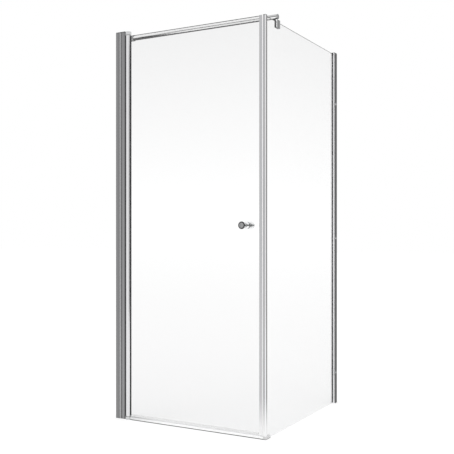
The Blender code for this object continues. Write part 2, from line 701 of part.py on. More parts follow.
def make_door():
    """The pane, its closing profile with the magnet, and the seal along the bottom."""
    slot_x = CLOSING_X + CLOSING_SLOT_DEPTH
    pane = box(
        "door_glass",
        (DOOR_GLASS_X, DOOR_PLANE_Y - HALF_GLASS, DOOR_GLASS_BOTTOM),
        (slot_x - GAP, DOOR_PLANE_Y + HALF_GLASS, DOOR_TOP),
    )
    hole_start = (KNOB_X, DOOR_PLANE_Y - HALF_GLASS - OVERRUN, KNOB_HEIGHT)
    hole = rod("hole", hole_start, GLASS_HOLE_RADIUS, GLASS_THICKNESS + 2 * OVERRUN, TO_BACK)
    dress(cut(pane, hole), DOOR, "glass")

    half = CLOSING_DEPTH / 2
    groove = GROOVE_WIDTH / 2
    face = CLOSING_FACE_X
    groove_x = face - GROOVE_DEPTH
    section = outline(
        (CLOSING_X, DOOR_PLANE_Y - half, POST_ROUNDING),
        (face, DOOR_PLANE_Y - half, PROFILE_ROUNDING),
        (face, DOOR_PLANE_Y - groove),
        (groove_x, DOOR_PLANE_Y - groove),
        (groove_x, DOOR_PLANE_Y + groove),
        (face, DOOR_PLANE_Y + groove),
        (face, DOOR_PLANE_Y + half, PROFILE_ROUNDING),
        (CLOSING_X, DOOR_PLANE_Y + half, POST_ROUNDING),
        (CLOSING_X, DOOR_PLANE_Y + GLASS_FIT),
        (slot_x, DOOR_PLANE_Y + GLASS_FIT),
        (slot_x, DOOR_PLANE_Y - GLASS_FIT),
        (CLOSING_X, DOOR_PLANE_Y - GLASS_FIT),
    )
    dress(extrusion("closing_profile", [section], DOOR_BOTTOM, CLOSING_TOP), DOOR, "bright_aluminium")
    strip = magnet_outline(face, 1)
    dress(extrusion("door_magnet_strip", [strip], DOOR_BOTTOM, CLOSING_TOP), DOOR, "white_seal")

    outside = GLASS_FIT + DOOR_SEAL_WALL
    top = DOOR_GLASS_BOTTOM + DOOR_SEAL_GRIP
    floor_top = DOOR_GLASS_BOTTOM - GAP
    floor = floor_top - DOOR_SEAL_FLOOR
    lip = floor - DOOR_SEAL_LIP_DROP
    lean = DOOR_SEAL_LIP_LEAN
    seal = [
        (DOOR_PLANE_Y - outside, top),
        (DOOR_PLANE_Y - outside, floor),
        (DOOR_PLANE_Y, floor),
        (DOOR_PLANE_Y + lean, lip),
        (DOOR_PLANE_Y + lean + DOOR_SEAL_LIP, lip),
        (DOOR_PLANE_Y + DOOR_SEAL_LIP, floor),
        (DOOR_PLANE_Y + outside, floor),
        (DOOR_PLANE_Y + outside, top),
        (DOOR_PLANE_Y + GLASS_FIT, top),
        (DOOR_PLANE_Y + GLASS_FIT, floor_top),
        (DOOR_PLANE_Y - GLASS_FIT, floor_top),
        (DOOR_PLANE_Y - GLASS_FIT, top),
    ]
    seal = extrusion("door_bottom_seal", [seal], THRESHOLD_START, CLOSING_X - GAP, ALONG_X)
    dress(seal, DOOR, "clear_seal")


def knob_profile():
    """Half of a knob's outline: disc, hollow waist, flange on the glass, and the bolt's bore."""
    length = KNOB_LENGTH
    rounding = KNOB_DISC_ROUNDING
    disc_back = length - KNOB_DISC_THICKNESS
    neck_high = (disc_back + KNOB_FLANGE_THICKNESS + KNOB_NECK_LENGTH) / 2
    neck_low = neck_high - KNOB_NECK_LENGTH
    points = [(0, length)]
    points += reversed(arc((KNOB_DISC_RADIUS - rounding, length - rounding), rounding, 0, pi / 2, CORNER_STEPS))
    for step in range(KNOB_CURVE_STEPS + 1):
        angle = pi / 2 * step / KNOB_CURVE_STEPS
        radius = KNOB_DISC_RADIUS - (KNOB_DISC_RADIUS - KNOB_NECK_RADIUS) * sin(angle)
        points.append((radius, neck_high + (disc_back - neck_high) * cos(angle)))
    for step in range(KNOB_CURVE_STEPS + 1):
        angle = pi / 2 * step / KNOB_CURVE_STEPS
        radius = KNOB_FLANGE_RADIUS - (KNOB_FLANGE_RADIUS - KNOB_NECK_RADIUS) * cos(angle)
        points.append((radius, neck_low - (neck_low - KNOB_FLANGE_THICKNESS) * sin(angle)))
    bore = KNOB_BOLT_RADIUS + GAP
    points += [(KNOB_FLANGE_RADIUS, 0), (bore, 0), (bore, KNOB_BORE_DEPTH), (0, KNOB_BORE_DEPTH)]
    return points


def grub_profile(length):
    chamfer = min(GRUB_CHAMFER, length / 4)
    return [
        (0, length),
        (GRUB_RADIUS - chamfer, length),
        (GRUB_RADIUS, length - chamfer),
        (GRUB_RADIUS, chamfer),
        (GRUB_RADIUS - chamfer, 0),
        (0, 0),
    ]


def make_knobs():
    """Outer and inner knob on one bolt through the pane."""
    gasket_radius = KNOB_FLANGE_RADIUS - KNOB_GASKET_INSET
    gasket = [
        (gasket_radius, KNOB_GASKET_THICKNESS),
        (gasket_radius, 0),
        (GLASS_HOLE_RADIUS, 0),
        (GLASS_HOLE_RADIUS, KNOB_GASKET_THICKNESS),
    ]
    profile = knob_profile()
    middle = Vector((KNOB_X, DOOR_PLANE_Y, KNOB_HEIGHT))
    grub_place = shifted(middle, KNOB_SEAT + KNOB_BORE_DEPTH - KNOB_GRUB_SETBACK, TO_BACK)
    for name, turn in (("outer", TO_FRONT), ("inner", TO_BACK)):
        knob = turned(f"{name}_knob", profile, shifted(middle, KNOB_SEAT, turn), turn)
        if name == "inner":
            start = shifted(grub_place, -KNOB_DISC_RADIUS, UPRIGHT)
            knob = cut(knob, rod("grub_hole", start, GRUB_RADIUS + GAP, KNOB_DISC_RADIUS, UPRIGHT))
        dress(knob, DOOR, "chrome")
        pad = turned(f"{name}_knob_gasket", gasket, shifted(middle, GLASS_FIT, turn), turn)
        dress(pad, DOOR, "clear_seal")

    reach = KNOB_SEAT + KNOB_BORE_DEPTH - GAP
    bolt = [
        (0, reach),
        (KNOB_BOLT_RADIUS - PIN_CHAMFER, reach),
        (KNOB_BOLT_RADIUS, reach - PIN_CHAMFER),
        (KNOB_BOLT_RADIUS, PIN_CHAMFER - reach),
        (KNOB_BOLT_RADIUS - PIN_CHAMFER, -reach),
        (0, -reach),
    ]
    dress(turned("knob_bolt", bolt, middle, TO_BACK, SMALL_STEPS), DOOR, "steel")
    grub = grub_profile(KNOB_NECK_RADIUS - KNOB_BOLT_RADIUS - 2 * GAP)
    seat = shifted(grub_place, GAP - KNOB_NECK_RADIUS, UPRIGHT)
    dress(turned("knob_grub_screw", grub, seat, UPRIGHT, SMALL_STEPS), DOOR, "steel")


def post_corners(back):
    """The outer corners of the post and what lines up with it, from the front by the door."""
    return [
        (POST_X, 0, PROFILE_ROUNDING),
        (OUTER_WIDTH, 0, POST_ROUNDING),
        (OUTER_WIDTH, back),
    ]


def make_corner_post():
    """The post that holds the side panel's front edge, its magnet, gasket, cap and foot."""
    slot_low = SIDE_GLASS_X - POST_SLOT_HALF
    slot_high = SIDE_GLASS_X + POST_SLOT_HALF
    groove = GROOVE_WIDTH / 2
    groove_x = POST_X + GROOVE_DEPTH
    section = outline(
        *post_corners(POST_DEPTH),
        (slot_high, POST_DEPTH),
        (slot_high, POST_FRONT_WALL),
        (slot_low, POST_FRONT_WALL),
        (slot_low, POST_DEPTH),
        (POST_X, POST_DEPTH),
        (POST_X, DOOR_PLANE_Y + groove),
        (groove_x, DOOR_PLANE_Y + groove),
        (groove_x, DOOR_PLANE_Y - groove),
        (POST_X, DOOR_PLANE_Y - groove),
    )
    dress(extrusion("corner_post", [section], POST_LOW, POST_TOP), ROOT, "bright_aluminium")
    cap_bottom = POST_TOP + GAP
    lid = outline(*post_corners(POST_DEPTH), (POST_X, POST_DEPTH))
    tongue = box(
        "tongue",
        (slot_low + GAP, POST_FRONT_WALL + GAP, SIDE_GLASS_TOP + GAP),
        (slot_high - GAP, POST_DEPTH - GAP, cap_bottom + POST_CAP_THICKNESS / 2),
    )
    cap = join(extrusion("corner_post_cap", [lid], cap_bottom, PANEL_TOP), tongue)
    dress(cap, ROOT, "grey_plastic")
    strip = magnet_outline(POST_X, -1)
    low = max(DOOR_BOTTOM, POST_LOW)
    dress(extrusion("post_magnet_strip", [strip], low, POST_TOP), ROOT, "white_seal")

    front = POST_FRONT_WALL + GAP
    outside = GLASS_FIT + POST_GASKET_WALL
    gasket = [
        (SIDE_GLASS_X - outside, front),
        (SIDE_GLASS_X + outside, front),
        (SIDE_GLASS_X + outside, POST_DEPTH),
        (SIDE_GLASS_X + GLASS_FIT, POST_DEPTH),
        (SIDE_GLASS_X + GLASS_FIT, front + POST_GASKET_WALL),
        (SIDE_GLASS_X - GLASS_FIT, front + POST_GASKET_WALL),
        (SIDE_GLASS_X - GLASS_FIT, POST_DEPTH),
        (SIDE_GLASS_X - outside, POST_DEPTH),
    ]
    dress(extrusion("corner_gasket", [gasket], POST_LOW, SIDE_GLASS_TOP), ROOT, "clear_seal")

    shoe = outline(*post_corners(THRESHOLD_DEPTH), (POST_X, THRESHOLD_DEPTH))
    seat = box(
        "seat",
        (SIDE_GLASS_X - GLASS_FIT, POST_FRONT_WALL, SIDE_STRIP_HEIGHT),
        (SIDE_GLASS_X + GLASS_FIT, THRESHOLD_DEPTH + OVERRUN, FOOT_HEIGHT + OVERRUN),
    )
    dress(cut(extrusion("corner_foot", [shoe], 0, FOOT_HEIGHT), seat), ROOT, "grey_plastic")


def make_side_profiles():
    """Channel on the far wall, and the jamb in it that holds the side panel's back edge."""
    channel = extrusion("side_wall_channel", [channel_outline(side_wall)], 0, SIDE_PROFILE_TOP)
    low_x = SIDE_CHANNEL_X + JAMB_LOW
    high_x = SIDE_CHANNEL_X + JAMB_HIGH
    front = SIDE_JAMB_FRONT
    back = SIDE_JAMB_BACK
    slot_low = SIDE_GLASS_X - SIDE_SLOT_HALF
    slot_high = SIDE_GLASS_X + SIDE_SLOT_HALF
    section = outline(
        (low_x, front, PROFILE_ROUNDING),
        (slot_low, front),
        (slot_low, SIDE_SLOT_BACK),
        (slot_high, SIDE_SLOT_BACK),
        (slot_high, front),
        (high_x, front, PROFILE_ROUNDING),
        (high_x, back),
        (low_x, back),
    )
    chamber = [
        (slot_high + JAMB_WALL, front + JAMB_WALL),
        (high_x - JAMB_WALL, front + JAMB_WALL),
        (high_x - JAMB_WALL, back - JAMB_WALL),
        (low_x + JAMB_WALL, back - JAMB_WALL),
        (low_x + JAMB_WALL, SIDE_SLOT_BACK + JAMB_WALL),
        (slot_high + JAMB_WALL, SIDE_SLOT_BACK + JAMB_WALL),
    ]
    jamb = extrusion("side_jamb", [section, chamber], 0, SIDE_PROFILE_TOP)
    channel_holes = []
    jamb_holes = []
    for number, height in enumerate(LOCK_HEIGHTS, 1):
        place = (SIDE_CHANNEL_X + CHANNEL_WIDTH, OUTER_DEPTH - LOCK_REACH, height)
        channel_holes.append(lock_hole(place, TO_RIGHT))
        jamb_holes.append(lock_hole(place, TO_RIGHT))
        lock_set("side", number, place, TO_RIGHT)
        start = (SIDE_CHANNEL_X + CHANNEL_WIDTH / 2, OUTER_DEPTH + OVERRUN, height + WALL_HOLE_RISE)
        depth = 2 * OVERRUN + CHANNEL_WALL
        channel_holes.append(rod("wall_hole", start, WALL_HOLE_RADIUS, depth, TO_FRONT))
    dress(cut(channel, *channel_holes), ROOT, "satin_aluminium")
    dress(cut(jamb, *jamb_holes), ROOT, "satin_aluminium")

    low_z = PANEL_TOP - CAP_THICKNESS
    cap = box(
        "side_top_cap",
        (SIDE_CHANNEL_X, front, low_z),
        (SIDE_CHANNEL_X + CHANNEL_WIDTH, OUTER_DEPTH, PANEL_TOP),
    )
    plug = box(
        "plug",
        (low_x, back + GAP, low_z - CAP_PLUG_DEPTH),
        (high_x, OUTER_DEPTH - CHANNEL_WALL - GAP, low_z + CAP_THICKNESS / 2),
    )
    dress(soften(join(cap, plug), CAP_ROUNDING), ROOT, "grey_plastic")

    for name, low, finish in (
        ("side_outer_gasket", SIDE_GLASS_X + GLASS_FIT, "dark_seal"),
        ("side_inner_gasket", SIDE_GLASS_X - GLASS_FIT - SIDE_GASKET_THICKNESS, "clear_seal"),
    ):
        strip = box(
            name,
            (low, front, SIDE_STRIP_HEIGHT + GAP),
            (low + SIDE_GASKET_THICKNESS, SIDE_SLOT_BACK - SIDE_GASKET_RECESS, SIDE_GLASS_TOP),
        )
        dress(strip, ROOT, finish)


def make_side_panel():
    """The fixed pane and the strip that seals it to the floor."""
    front = POST_FRONT_WALL + GAP + POST_GASKET_WALL + GAP
    pane = box(
        "side_glass",
        (SIDE_GLASS_X - HALF_GLASS, front, SIDE_STRIP_HEIGHT + GAP),
        (SIDE_GLASS_X + HALF_GLASS, SIDE_SLOT_BACK - GAP, SIDE_GLASS_TOP),
    )
    dress(pane, ROOT, "glass")
    half = SIDE_STRIP_WIDTH / 2
    strip = box(
        "side_bottom_strip",
        (SIDE_GLASS_X - half, THRESHOLD_DEPTH + GAP, 0),
        (SIDE_GLASS_X + half, SIDE_JAMB_FRONT - GAP, SIDE_STRIP_HEIGHT),
    )
    dress(strip, ROOT, "clear_seal")


def make_threshold():
    """The low rail under the door, on its sealing strip."""
    end = POST_X - GAP
    back_top = THRESHOLD_LOW + THRESHOLD_BACK_HEIGHT
    section = outline(
        (0, THRESHOLD_LOW),
        (0, THRESHOLD_TOP, THRESHOLD_ROUNDING),
        (THRESHOLD_FLAT, THRESHOLD_TOP),
        (THRESHOLD_DEPTH, back_top),
        (THRESHOLD_DEPTH, THRESHOLD_LOW),
    )
    wall = THRESHOLD_WALL
    hollow = rectangle(wall, THRESHOLD_LOW + wall, THRESHOLD_FLAT - wall, THRESHOLD_TOP - wall)
    rail = extrusion("threshold_rail", [section, hollow], THRESHOLD_START, end, ALONG_X)
    dress(rail, ROOT, "bright_aluminium")
    strip = box(
        "threshold_base_strip",
        (THRESHOLD_START, BASE_STRIP_INSET, 0),
        (end, THRESHOLD_DEPTH - BASE_STRIP_INSET, BASE_STRIP_HEIGHT),
    )
    dress(strip, ROOT, "dark_seal")


def make_bar():
    """The stabiliser bar in its wall socket, and its end cap."""
    bore = BAR_RADIUS + GAP
    rounding = SOCKET_ROUNDING
    cup = [
        (SOCKET_RADIUS - rounding, SOCKET_LENGTH),
        (SOCKET_RADIUS, SOCKET_LENGTH - rounding),
        (SOCKET_RADIUS, 0),
        (SOCKET_HOLE_RADIUS, 0),
        (SOCKET_HOLE_RADIUS, SOCKET_BASE),
        (bore, SOCKET_BASE),
        (bore, SOCKET_LENGTH),
    ]
    socket = turned("bar_wall_socket", cup, (0, BAR_Y, BAR_Z), TO_RIGHT)
    hole_start = (SOCKET_GRUB_X, BAR_Y, BAR_Z - SOCKET_RADIUS - OVERRUN)
    hole = rod("grub_hole", hole_start, GRUB_RADIUS + GAP, SOCKET_RADIUS, UPRIGHT)
    dress(cut(socket, hole), ROOT, "chrome")
    grub = grub_profile(SOCKET_RADIUS - bore - GAP)
    grub_seat = (SOCKET_GRUB_X, BAR_Y, BAR_Z - SOCKET_RADIUS + GAP)
    dress(turned("socket_grub_screw", grub, grub_seat, UPRIGHT, SMALL_STEPS), ROOT, "steel")

    start = SOCKET_BASE + GAP
    tube_end = OUTER_WIDTH - BAR_CAP_THICKNESS - GAP
    inner = BAR_RADIUS - BAR_WALL
    tube = [
        (BAR_RADIUS, tube_end - start),
        (BAR_RADIUS, 0),
        (inner, 0),
        (inner, tube_end - start),
    ]
    bar = turned("stabiliser_bar", tube, (start, BAR_Y, BAR_Z), TO_RIGHT)
    stud_start = (SIDE_GLASS_X, BAR_Y, CLAMP_TOP)
    stud_hole = rod("stud_hole", stud_start, STUD_RADIUS + GAP, CLAMP_NECK + BAR_RADIUS, UPRIGHT)
    dress(cut(bar, stud_hole), ROOT, "chrome")
    cap = [
        (0, BAR_CAP_THICKNESS),
        (BAR_RADIUS - PIN_CHAMFER, BAR_CAP_THICKNESS),
        (BAR_RADIUS, BAR_CAP_THICKNESS - PIN_CHAMFER),
        (BAR_RADIUS, 0),
        (inner - GAP, 0),
        (inner - GAP, -GAP - BAR_CAP_PLUG_LENGTH),
        (0, -GAP - BAR_CAP_PLUG_LENGTH),
    ]
    dress(turned("bar_end_cap", cap, (tube_end + GAP, BAR_Y, BAR_Z), TO_RIGHT), ROOT, "chrome")


def make_clamp():
    """The clamp that grips the side panel's top edge, and the stud that it hangs from."""
    left = SIDE_GLASS_X - CLAMP_HALF
    right = SIDE_GLASS_X + CLAMP_HALF
    slot_left = SIDE_GLASS_X - CLAMP_SLOT_HALF
    slot_right = SIDE_GLASS_X + CLAMP_SLOT_HALF
    section = outline(
        (left, CLAMP_TOP, PROFILE_ROUNDING),
        (left, CLAMP_BOTTOM, CLAMP_ROUNDING),
        (slot_left, CLAMP_BOTTOM),
        (slot_left, CLAMP_SLOT_TOP),
        (slot_right, CLAMP_SLOT_TOP),
        (slot_right, CLAMP_BOTTOM),
        (right, CLAMP_BOTTOM, CLAMP_ROUNDING),
        (right, CLAMP_TOP, PROFILE_ROUNDING),
    )
    half_length = CLAMP_LENGTH / 2
    clamp = extrusion("glass_clamp", [section], -BAR_Y - half_length, half_length - BAR_Y, TO_FRONT)
    stud_start = (SIDE_GLASS_X, BAR_Y, CLAMP_SLOT_TOP - OVERRUN)
    stud_hole = rod("stud_hole", stud_start, STUD_RADIUS + GAP, CLAMP_CROWN + 2 * OVERRUN, UPRIGHT)
    screw_hole = rod(
        "screw_hole",
        (left - OVERRUN, BAR_Y, CLAMP_SCREW_Z),
        GRUB_RADIUS + GAP,
        OVERRUN + CLAMP_CHEEK + CLAMP_SLOT_HALF,
        TO_RIGHT,
    )
    dress(cut(cut(clamp, stud_hole), screw_hole), ROOT, "chrome")

    screw = grub_profile(CLAMP_CHEEK - GAP)
    screw_seat = (left + GAP, BAR_Y, CLAMP_SCREW_Z)
    dress(turned("clamp_screw", screw, screw_seat, TO_RIGHT, SMALL_STEPS), ROOT, "steel")
    for name, low in (
        ("clamp_outer_pad", SIDE_GLASS_X + GLASS_FIT),
        ("clamp_inner_pad", SIDE_GLASS_X - GLASS_FIT - CLAMP_PAD_THICKNESS),
    ):
        pad = box(
            name,
            (low, BAR_Y - half_length + CLAMP_PAD_MARGIN, CLAMP_BOTTOM + CLAMP_PAD_MARGIN),
            (
                low + CLAMP_PAD_THICKNESS,
                BAR_Y + half_length - CLAMP_PAD_MARGIN,
                CLAMP_SLOT_TOP - CLAMP_PAD_MARGIN,
            ),
        )
        dress(pad, ROOT, "clear_seal")

    stud = [
        (0, CLAMP_NECK + STUD_REACH),
        (STUD_RADIUS, CLAMP_NECK + STUD_REACH),
        (STUD_RADIUS, CLAMP_NECK - GAP),
        (STUD_NECK_RADIUS, CLAMP_NECK - GAP),
        (STUD_NECK_RADIUS, GAP),
        (STUD_RADIUS, GAP),
        (STUD_RADIUS, -STUD_SET),
        (0, -STUD_SET),
    ]
    stud_seat = (SIDE_GLASS_X, BAR_Y, CLAMP_TOP)
    dress(turned("clamp_stud", stud, stud_seat, UPRIGHT, SMALL_STEPS), ROOT, "chrome")


clear_scene()
PARTS = new_collection("shower_door_with_side_panel")
CUTTERS = new_collection("cutters")
ROOT = new_empty("enclosure", -ORIGIN)
DOOR = new_empty("door_axis", (HINGE_X, DOOR_PLANE_Y, 0), ROOT)
make_hinge_profiles()
make_pivots()
make_hinge_tube()
make_door()
make_knobs()
make_corner_post()
make_side_profiles()
make_side_panel()
make_threshold()
make_bar()
make_clamp()
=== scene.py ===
"""Looks of a corner shower enclosure: a pivoting glass door beside a fixed glass side panel.

Sizes are in metres. X runs along the door, away from the hinge wall, Y from the front towards the far
wall, and Z up from the floor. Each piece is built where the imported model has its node.
"""

import logging
from dataclasses import dataclass
from enum import Enum
from math import asin, cos, pi, radians, sin

import bmesh
import bpy
from bmesh.types import BMEdge, BMesh
from bpy.types import Material, NodeTree, Object
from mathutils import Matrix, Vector


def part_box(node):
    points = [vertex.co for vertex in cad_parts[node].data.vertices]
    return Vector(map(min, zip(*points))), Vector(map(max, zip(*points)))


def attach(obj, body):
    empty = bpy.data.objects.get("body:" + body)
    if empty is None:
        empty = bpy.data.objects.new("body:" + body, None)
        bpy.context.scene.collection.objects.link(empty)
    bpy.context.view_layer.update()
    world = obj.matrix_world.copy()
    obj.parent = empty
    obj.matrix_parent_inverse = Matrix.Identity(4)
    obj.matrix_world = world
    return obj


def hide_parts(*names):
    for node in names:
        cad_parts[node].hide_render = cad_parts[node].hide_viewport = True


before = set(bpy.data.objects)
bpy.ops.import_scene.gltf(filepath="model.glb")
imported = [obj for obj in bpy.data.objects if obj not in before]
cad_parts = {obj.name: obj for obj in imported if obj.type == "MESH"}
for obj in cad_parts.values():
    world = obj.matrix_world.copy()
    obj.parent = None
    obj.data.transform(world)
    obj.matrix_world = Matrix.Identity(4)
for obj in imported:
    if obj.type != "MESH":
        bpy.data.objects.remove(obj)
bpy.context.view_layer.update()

LOG = logging.getLogger("enclosure")

Colour = tuple[float, float, float]
Values = dict[str | int, object]
Profile = list[tuple[float, float]]

# Mesh tolerances and roundness
MERGE_DISTANCE = 1e-5
FLAT_ANGLE = radians(0.5)
EASED_ANGLE = radians(40)
SMOOTH_ANGLE = radians(35)
ROUND_STEPS = 96
SMALL_STEPS = 40
CURVE_STEPS = 10
GAP = 0.0003

# Least cosine between a face and a way that it looks roughly, and squarely
OUTWARD_COSINE = 0.1
FACING_COSINE = 0.9

# Surface patterns
EVERY_WAY = Vector((1, 1, 1))
NOISE_MIDDLE = 0.5
BAND_EDGES = (0.40, 0.60)
BUMP_DEPTH = 0.0002


class Body(Enum):
    """The two bodies that a piece can ride on."""

    FRAME = "frame"
    DOOR = "door"


class Axis(Enum):
    """The way that a profile or a turned piece runs."""

    X = (1, 0, 0)
    Y = (0, 1, 0)
    Z = (0, 0, 1)
    FRONT = (0, -1, 0)

    def vector(self) -> Vector:
        """The direction as a vector."""
        return Vector(self.value)


class Wire:
    """The output of a shader node. Arithmetic on it adds Math nodes."""

    def __init__(self, graph: "Graph", socket: bpy.types.NodeSocket) -> None:
        """Wraps a socket of a graph."""
        self.graph = graph
        self.socket = socket

    def math(self, operation: str, first: "Wire | float", second: "Wire | float") -> "Wire":
        """Adds a Math node on two operands."""
        return self.graph.node("ShaderNodeMath", {"operation": operation}, {0: first, 1: second})

    def __add__(self, other: "Wire | float") -> "Wire":
        """The sum of both."""
        return self.math("ADD", self, other)

    def __sub__(self, other: "Wire | float") -> "Wire":
        """The difference of both."""
        return self.math("SUBTRACT", self, other)

    def __rsub__(self, other: float) -> "Wire":
        """The difference of both, with the number first."""
        return self.math("SUBTRACT", other, self)

    def __mul__(self, other: "Wire | float") -> "Wire":
        """The product of both."""
        return self.math("MULTIPLY", self, other)


class Graph:
    """The nodes of one material or of the world."""

    def __init__(self, tree: NodeTree) -> None:
        """Starts from an emptied node tree."""
        self.tree = tree
        tree.nodes.clear()

    def node(self, kind: str, settings: Values, values: Values, output: str | int = 0) -> Wire:
        """Adds a node and returns one of its outputs.

        Args:
            kind: The node's type.
            settings: Properties of the node, which are set first.
            values: Numbers, colours or links for its inputs.
            output: Name or number of the output that is returned.

        Returns:
            The chosen output.
        """
        node = self.tree.nodes.new(kind)
        for name, setting in settings.items():
            setattr(node, name, setting)
        for name, value in values.items():
            if isinstance(value, Wire):
                self.tree.links.new(value.socket, node.inputs[name])
            else:
                node.inputs[name].default_value = value
        return Wire(self, node.outputs[output])

    def surface(self, shader: Wire, kind: str = "ShaderNodeOutputMaterial") -> None:
        """Links a shader to the tree's output."""
        end = self.tree.nodes.new(kind)
        self.tree.links.new(shader.socket, end.inputs["Surface"])

    def place(self) -> Wire:
        """The piece's own coordinates, in metres."""
        return self.node("ShaderNodeTexCoord", {}, {}, "Object")

    def noise(self, scale: Vector, detail: float = 3.0) -> Wire:
        """Noise whose grains are one over the scale long, each way."""
        mapped = self.node("ShaderNodeMapping", {}, {"Vector": self.place(), "Scale": scale})
        return self.node("ShaderNodeTexNoise", {}, {"Vector": mapped, "Scale": 1.0, "Detail": detail})

    def ramp(self, value: Wire, low: float, high: float) -> Wire:
        """A smooth rise from 0 at one value to 1 at another."""
        ends = {"Value": value, "From Min": low, "From Max": high}
        return self.node("ShaderNodeMapRange", {"interpolation_type": "SMOOTHSTEP"}, ends)

    def height(self) -> Wire:
        """The height above the floor, in metres."""
        return self.node("ShaderNodeSeparateXYZ", {}, {0: self.place()}, "Z")

    def run(self) -> Wire:
        """The distance along the door from the object's middle, in metres."""
        return self.node("ShaderNodeSeparateXYZ", {}, {0: self.place()}, "X")

    def mix(self, factor: Wire, first: Colour, second: Colour) -> Wire:
        """A colour between two others."""
        values = {0: factor, 6: (*first, 1), 7: (*second, 1)}
        return self.node("ShaderNodeMix", {"data_type": "RGBA"}, values, 2)

    def fade(self, factor: Wire | float, first: Colour, second: Wire) -> Wire:
        """A colour between a plain one and one from the nodes."""
        values = {0: factor, 6: (*first, 1), 7: second}
        return self.node("ShaderNodeMix", {"data_type": "RGBA"}, values, 2)

    def bump(self, height: Wire, strength: float) -> Wire:
        """A surface normal from a pattern of heights."""
        values = {"Height": height, "Strength": strength, "Distance": BUMP_DEPTH}
        return self.node("ShaderNodeBump", {}, values)

    def principled(self, **values: object) -> Wire:
        """The main shader. An underscore in a name stands for a space."""
        named = {name.replace("_", " "): value for name, value in values.items()}
        return self.node("ShaderNodeBsdfPrincipled", {}, named)


def tinted(colour: Colour, factor: float) -> Colour:
    """The same colour, lighter or darker."""
    red, green, blue = (channel * factor for channel in colour)
    return red, green, blue


def bare_material(name: str) -> tuple[Material, Graph]:
    """A new material with no nodes yet.

    Args:
        name: The material's name.

    Returns:
        The material and its nodes.
    """
    material = bpy.data.materials.new(name)
    material.use_nodes = True
    return material, Graph(material.node_tree)


@dataclass(frozen=True)
class Finish:
    """A finish. Its material is made once and shared by the pieces that wear it."""

    name: str
    slot: str
    colour: Colour
    roughness: float

    def shader(self, graph: Graph) -> Wire:
        """The finish's shader; each kind of finish has its own."""
        raise NotImplementedError

    def material(self) -> Material:
        """The material with this finish's name.

        Returns:
            The material, made when it is first asked for.
        """
        material = bpy.data.materials.get(self.name)
        if material is None:
            material, graph = bare_material(self.name)
            graph.surface(self.shader(graph))
        return material


@dataclass(frozen=True)
class Metal(Finish):
    """Drawn or polished metal, with fine lines along it and a few faint smudges."""

    along: Axis = Axis.Z
    lines: float = 0.10
    relief: float = 0.04
    fineness: float = 1100.0
    length_share: float = 0.004
    # Broad bands: die streaks on drawn metal, and a painted reflection of soft lamps on dark chrome
    bands: float = 0.0
    band_fineness: float = 170.0
    band_length_share: float = 0.0008
    smudge_scale: float = 14.0
    smudges: float = 0.05
    # How far up the colour pales into a painted reflection of the floor
    floor_reflection_height: float = 0.0
    floor_reflection_colour: Colour = (0.86, 0.86, 0.86)

    def tone(self, graph: Graph, drawn: Wire) -> Wire:
        """The colour: fine lines, broad bands, and paleness towards the floor, a painted reflection of
        it.

        Args:
            graph: The material's nodes.
            drawn: The pattern of the fine lines.

        Returns:
            The colour.
        """
        dark, light = tinted(self.colour, 1 - self.lines), tinted(self.colour, 1 + self.lines)
        base = graph.mix(drawn, dark, light)
        if self.bands:
            spread = EVERY_WAY - self.along.vector() * (1 - self.band_length_share)
            band = graph.ramp(graph.noise(spread * self.band_fineness, detail=1.0), *BAND_EDGES)
            base = graph.fade(1 - band * self.bands, (0, 0, 0), base)
        # Painted reflection of the pale floor: the colour pales towards the floor
        if self.floor_reflection_height:
            rise = graph.ramp(graph.height(), 0.0, self.floor_reflection_height)
            base = graph.fade(rise, self.floor_reflection_colour, base)
        return base

    def shader(self, graph: Graph) -> Wire:
        """Lines in colour, gloss and relief, under smudges in the gloss.

        Args:
            graph: The material's nodes.

        Returns:
            The shader.
        """
        across = EVERY_WAY - self.along.vector() * (1 - self.length_share)
        drawn = graph.noise(across * self.fineness)
        smudged = (graph.noise(EVERY_WAY * self.smudge_scale) - NOISE_MIDDLE) * self.smudges
        return graph.principled(
            Base_Color=self.tone(graph, drawn),
            Metallic=1.0,
            Roughness=(drawn - NOISE_MIDDLE) * self.lines + smudged + self.roughness,
            Normal=graph.bump(drawn, self.relief),
        )


@dataclass(frozen=True)
class WallReflectionMetal(Metal):
    """Metal with a painted reflection of the dark profile on the wall in its near end."""

    shade: Colour = (0.34, 0.34, 0.344)
    shade_start: float = -0.40
    shade_end: float = -0.12

    def tone(self, graph: Graph, drawn: Wire) -> Wire:
        """The metal's colour, with painted shade towards the wall, a reflection of the wall profile."""
        away = graph.ramp(graph.run(), self.shade_start, self.shade_end)
        return graph.fade(away, self.shade, super().tone(graph, drawn))


@dataclass(frozen=True)
class LinedMetal(Metal):
    """Polished metal with a level dark line painted on it, a painted reflection like a horizon in a
    mirror.
    """

    shade: Colour = (0.05, 0.05, 0.051)
    line_height: float = 0.9964
    line_half: float = 0.0052
    line_strength: float = 0.75

    def line(self, graph: Graph) -> Wire:
        """The share of the shade that the line brings.

        Args:
            graph: The material's nodes.

        Returns:
            The share, 0 away from the line.
        """
        away = graph.height() - self.line_height
        beside = graph.ramp(away * away, self.line_half**2 / 4, self.line_half**2)
        return (1 - beside) * self.line_strength

    def tone(self, graph: Graph, drawn: Wire) -> Wire:
        """The metal's colour under the painted line."""
        return graph.fade(1 - self.line(graph), self.shade, super().tone(graph, drawn))


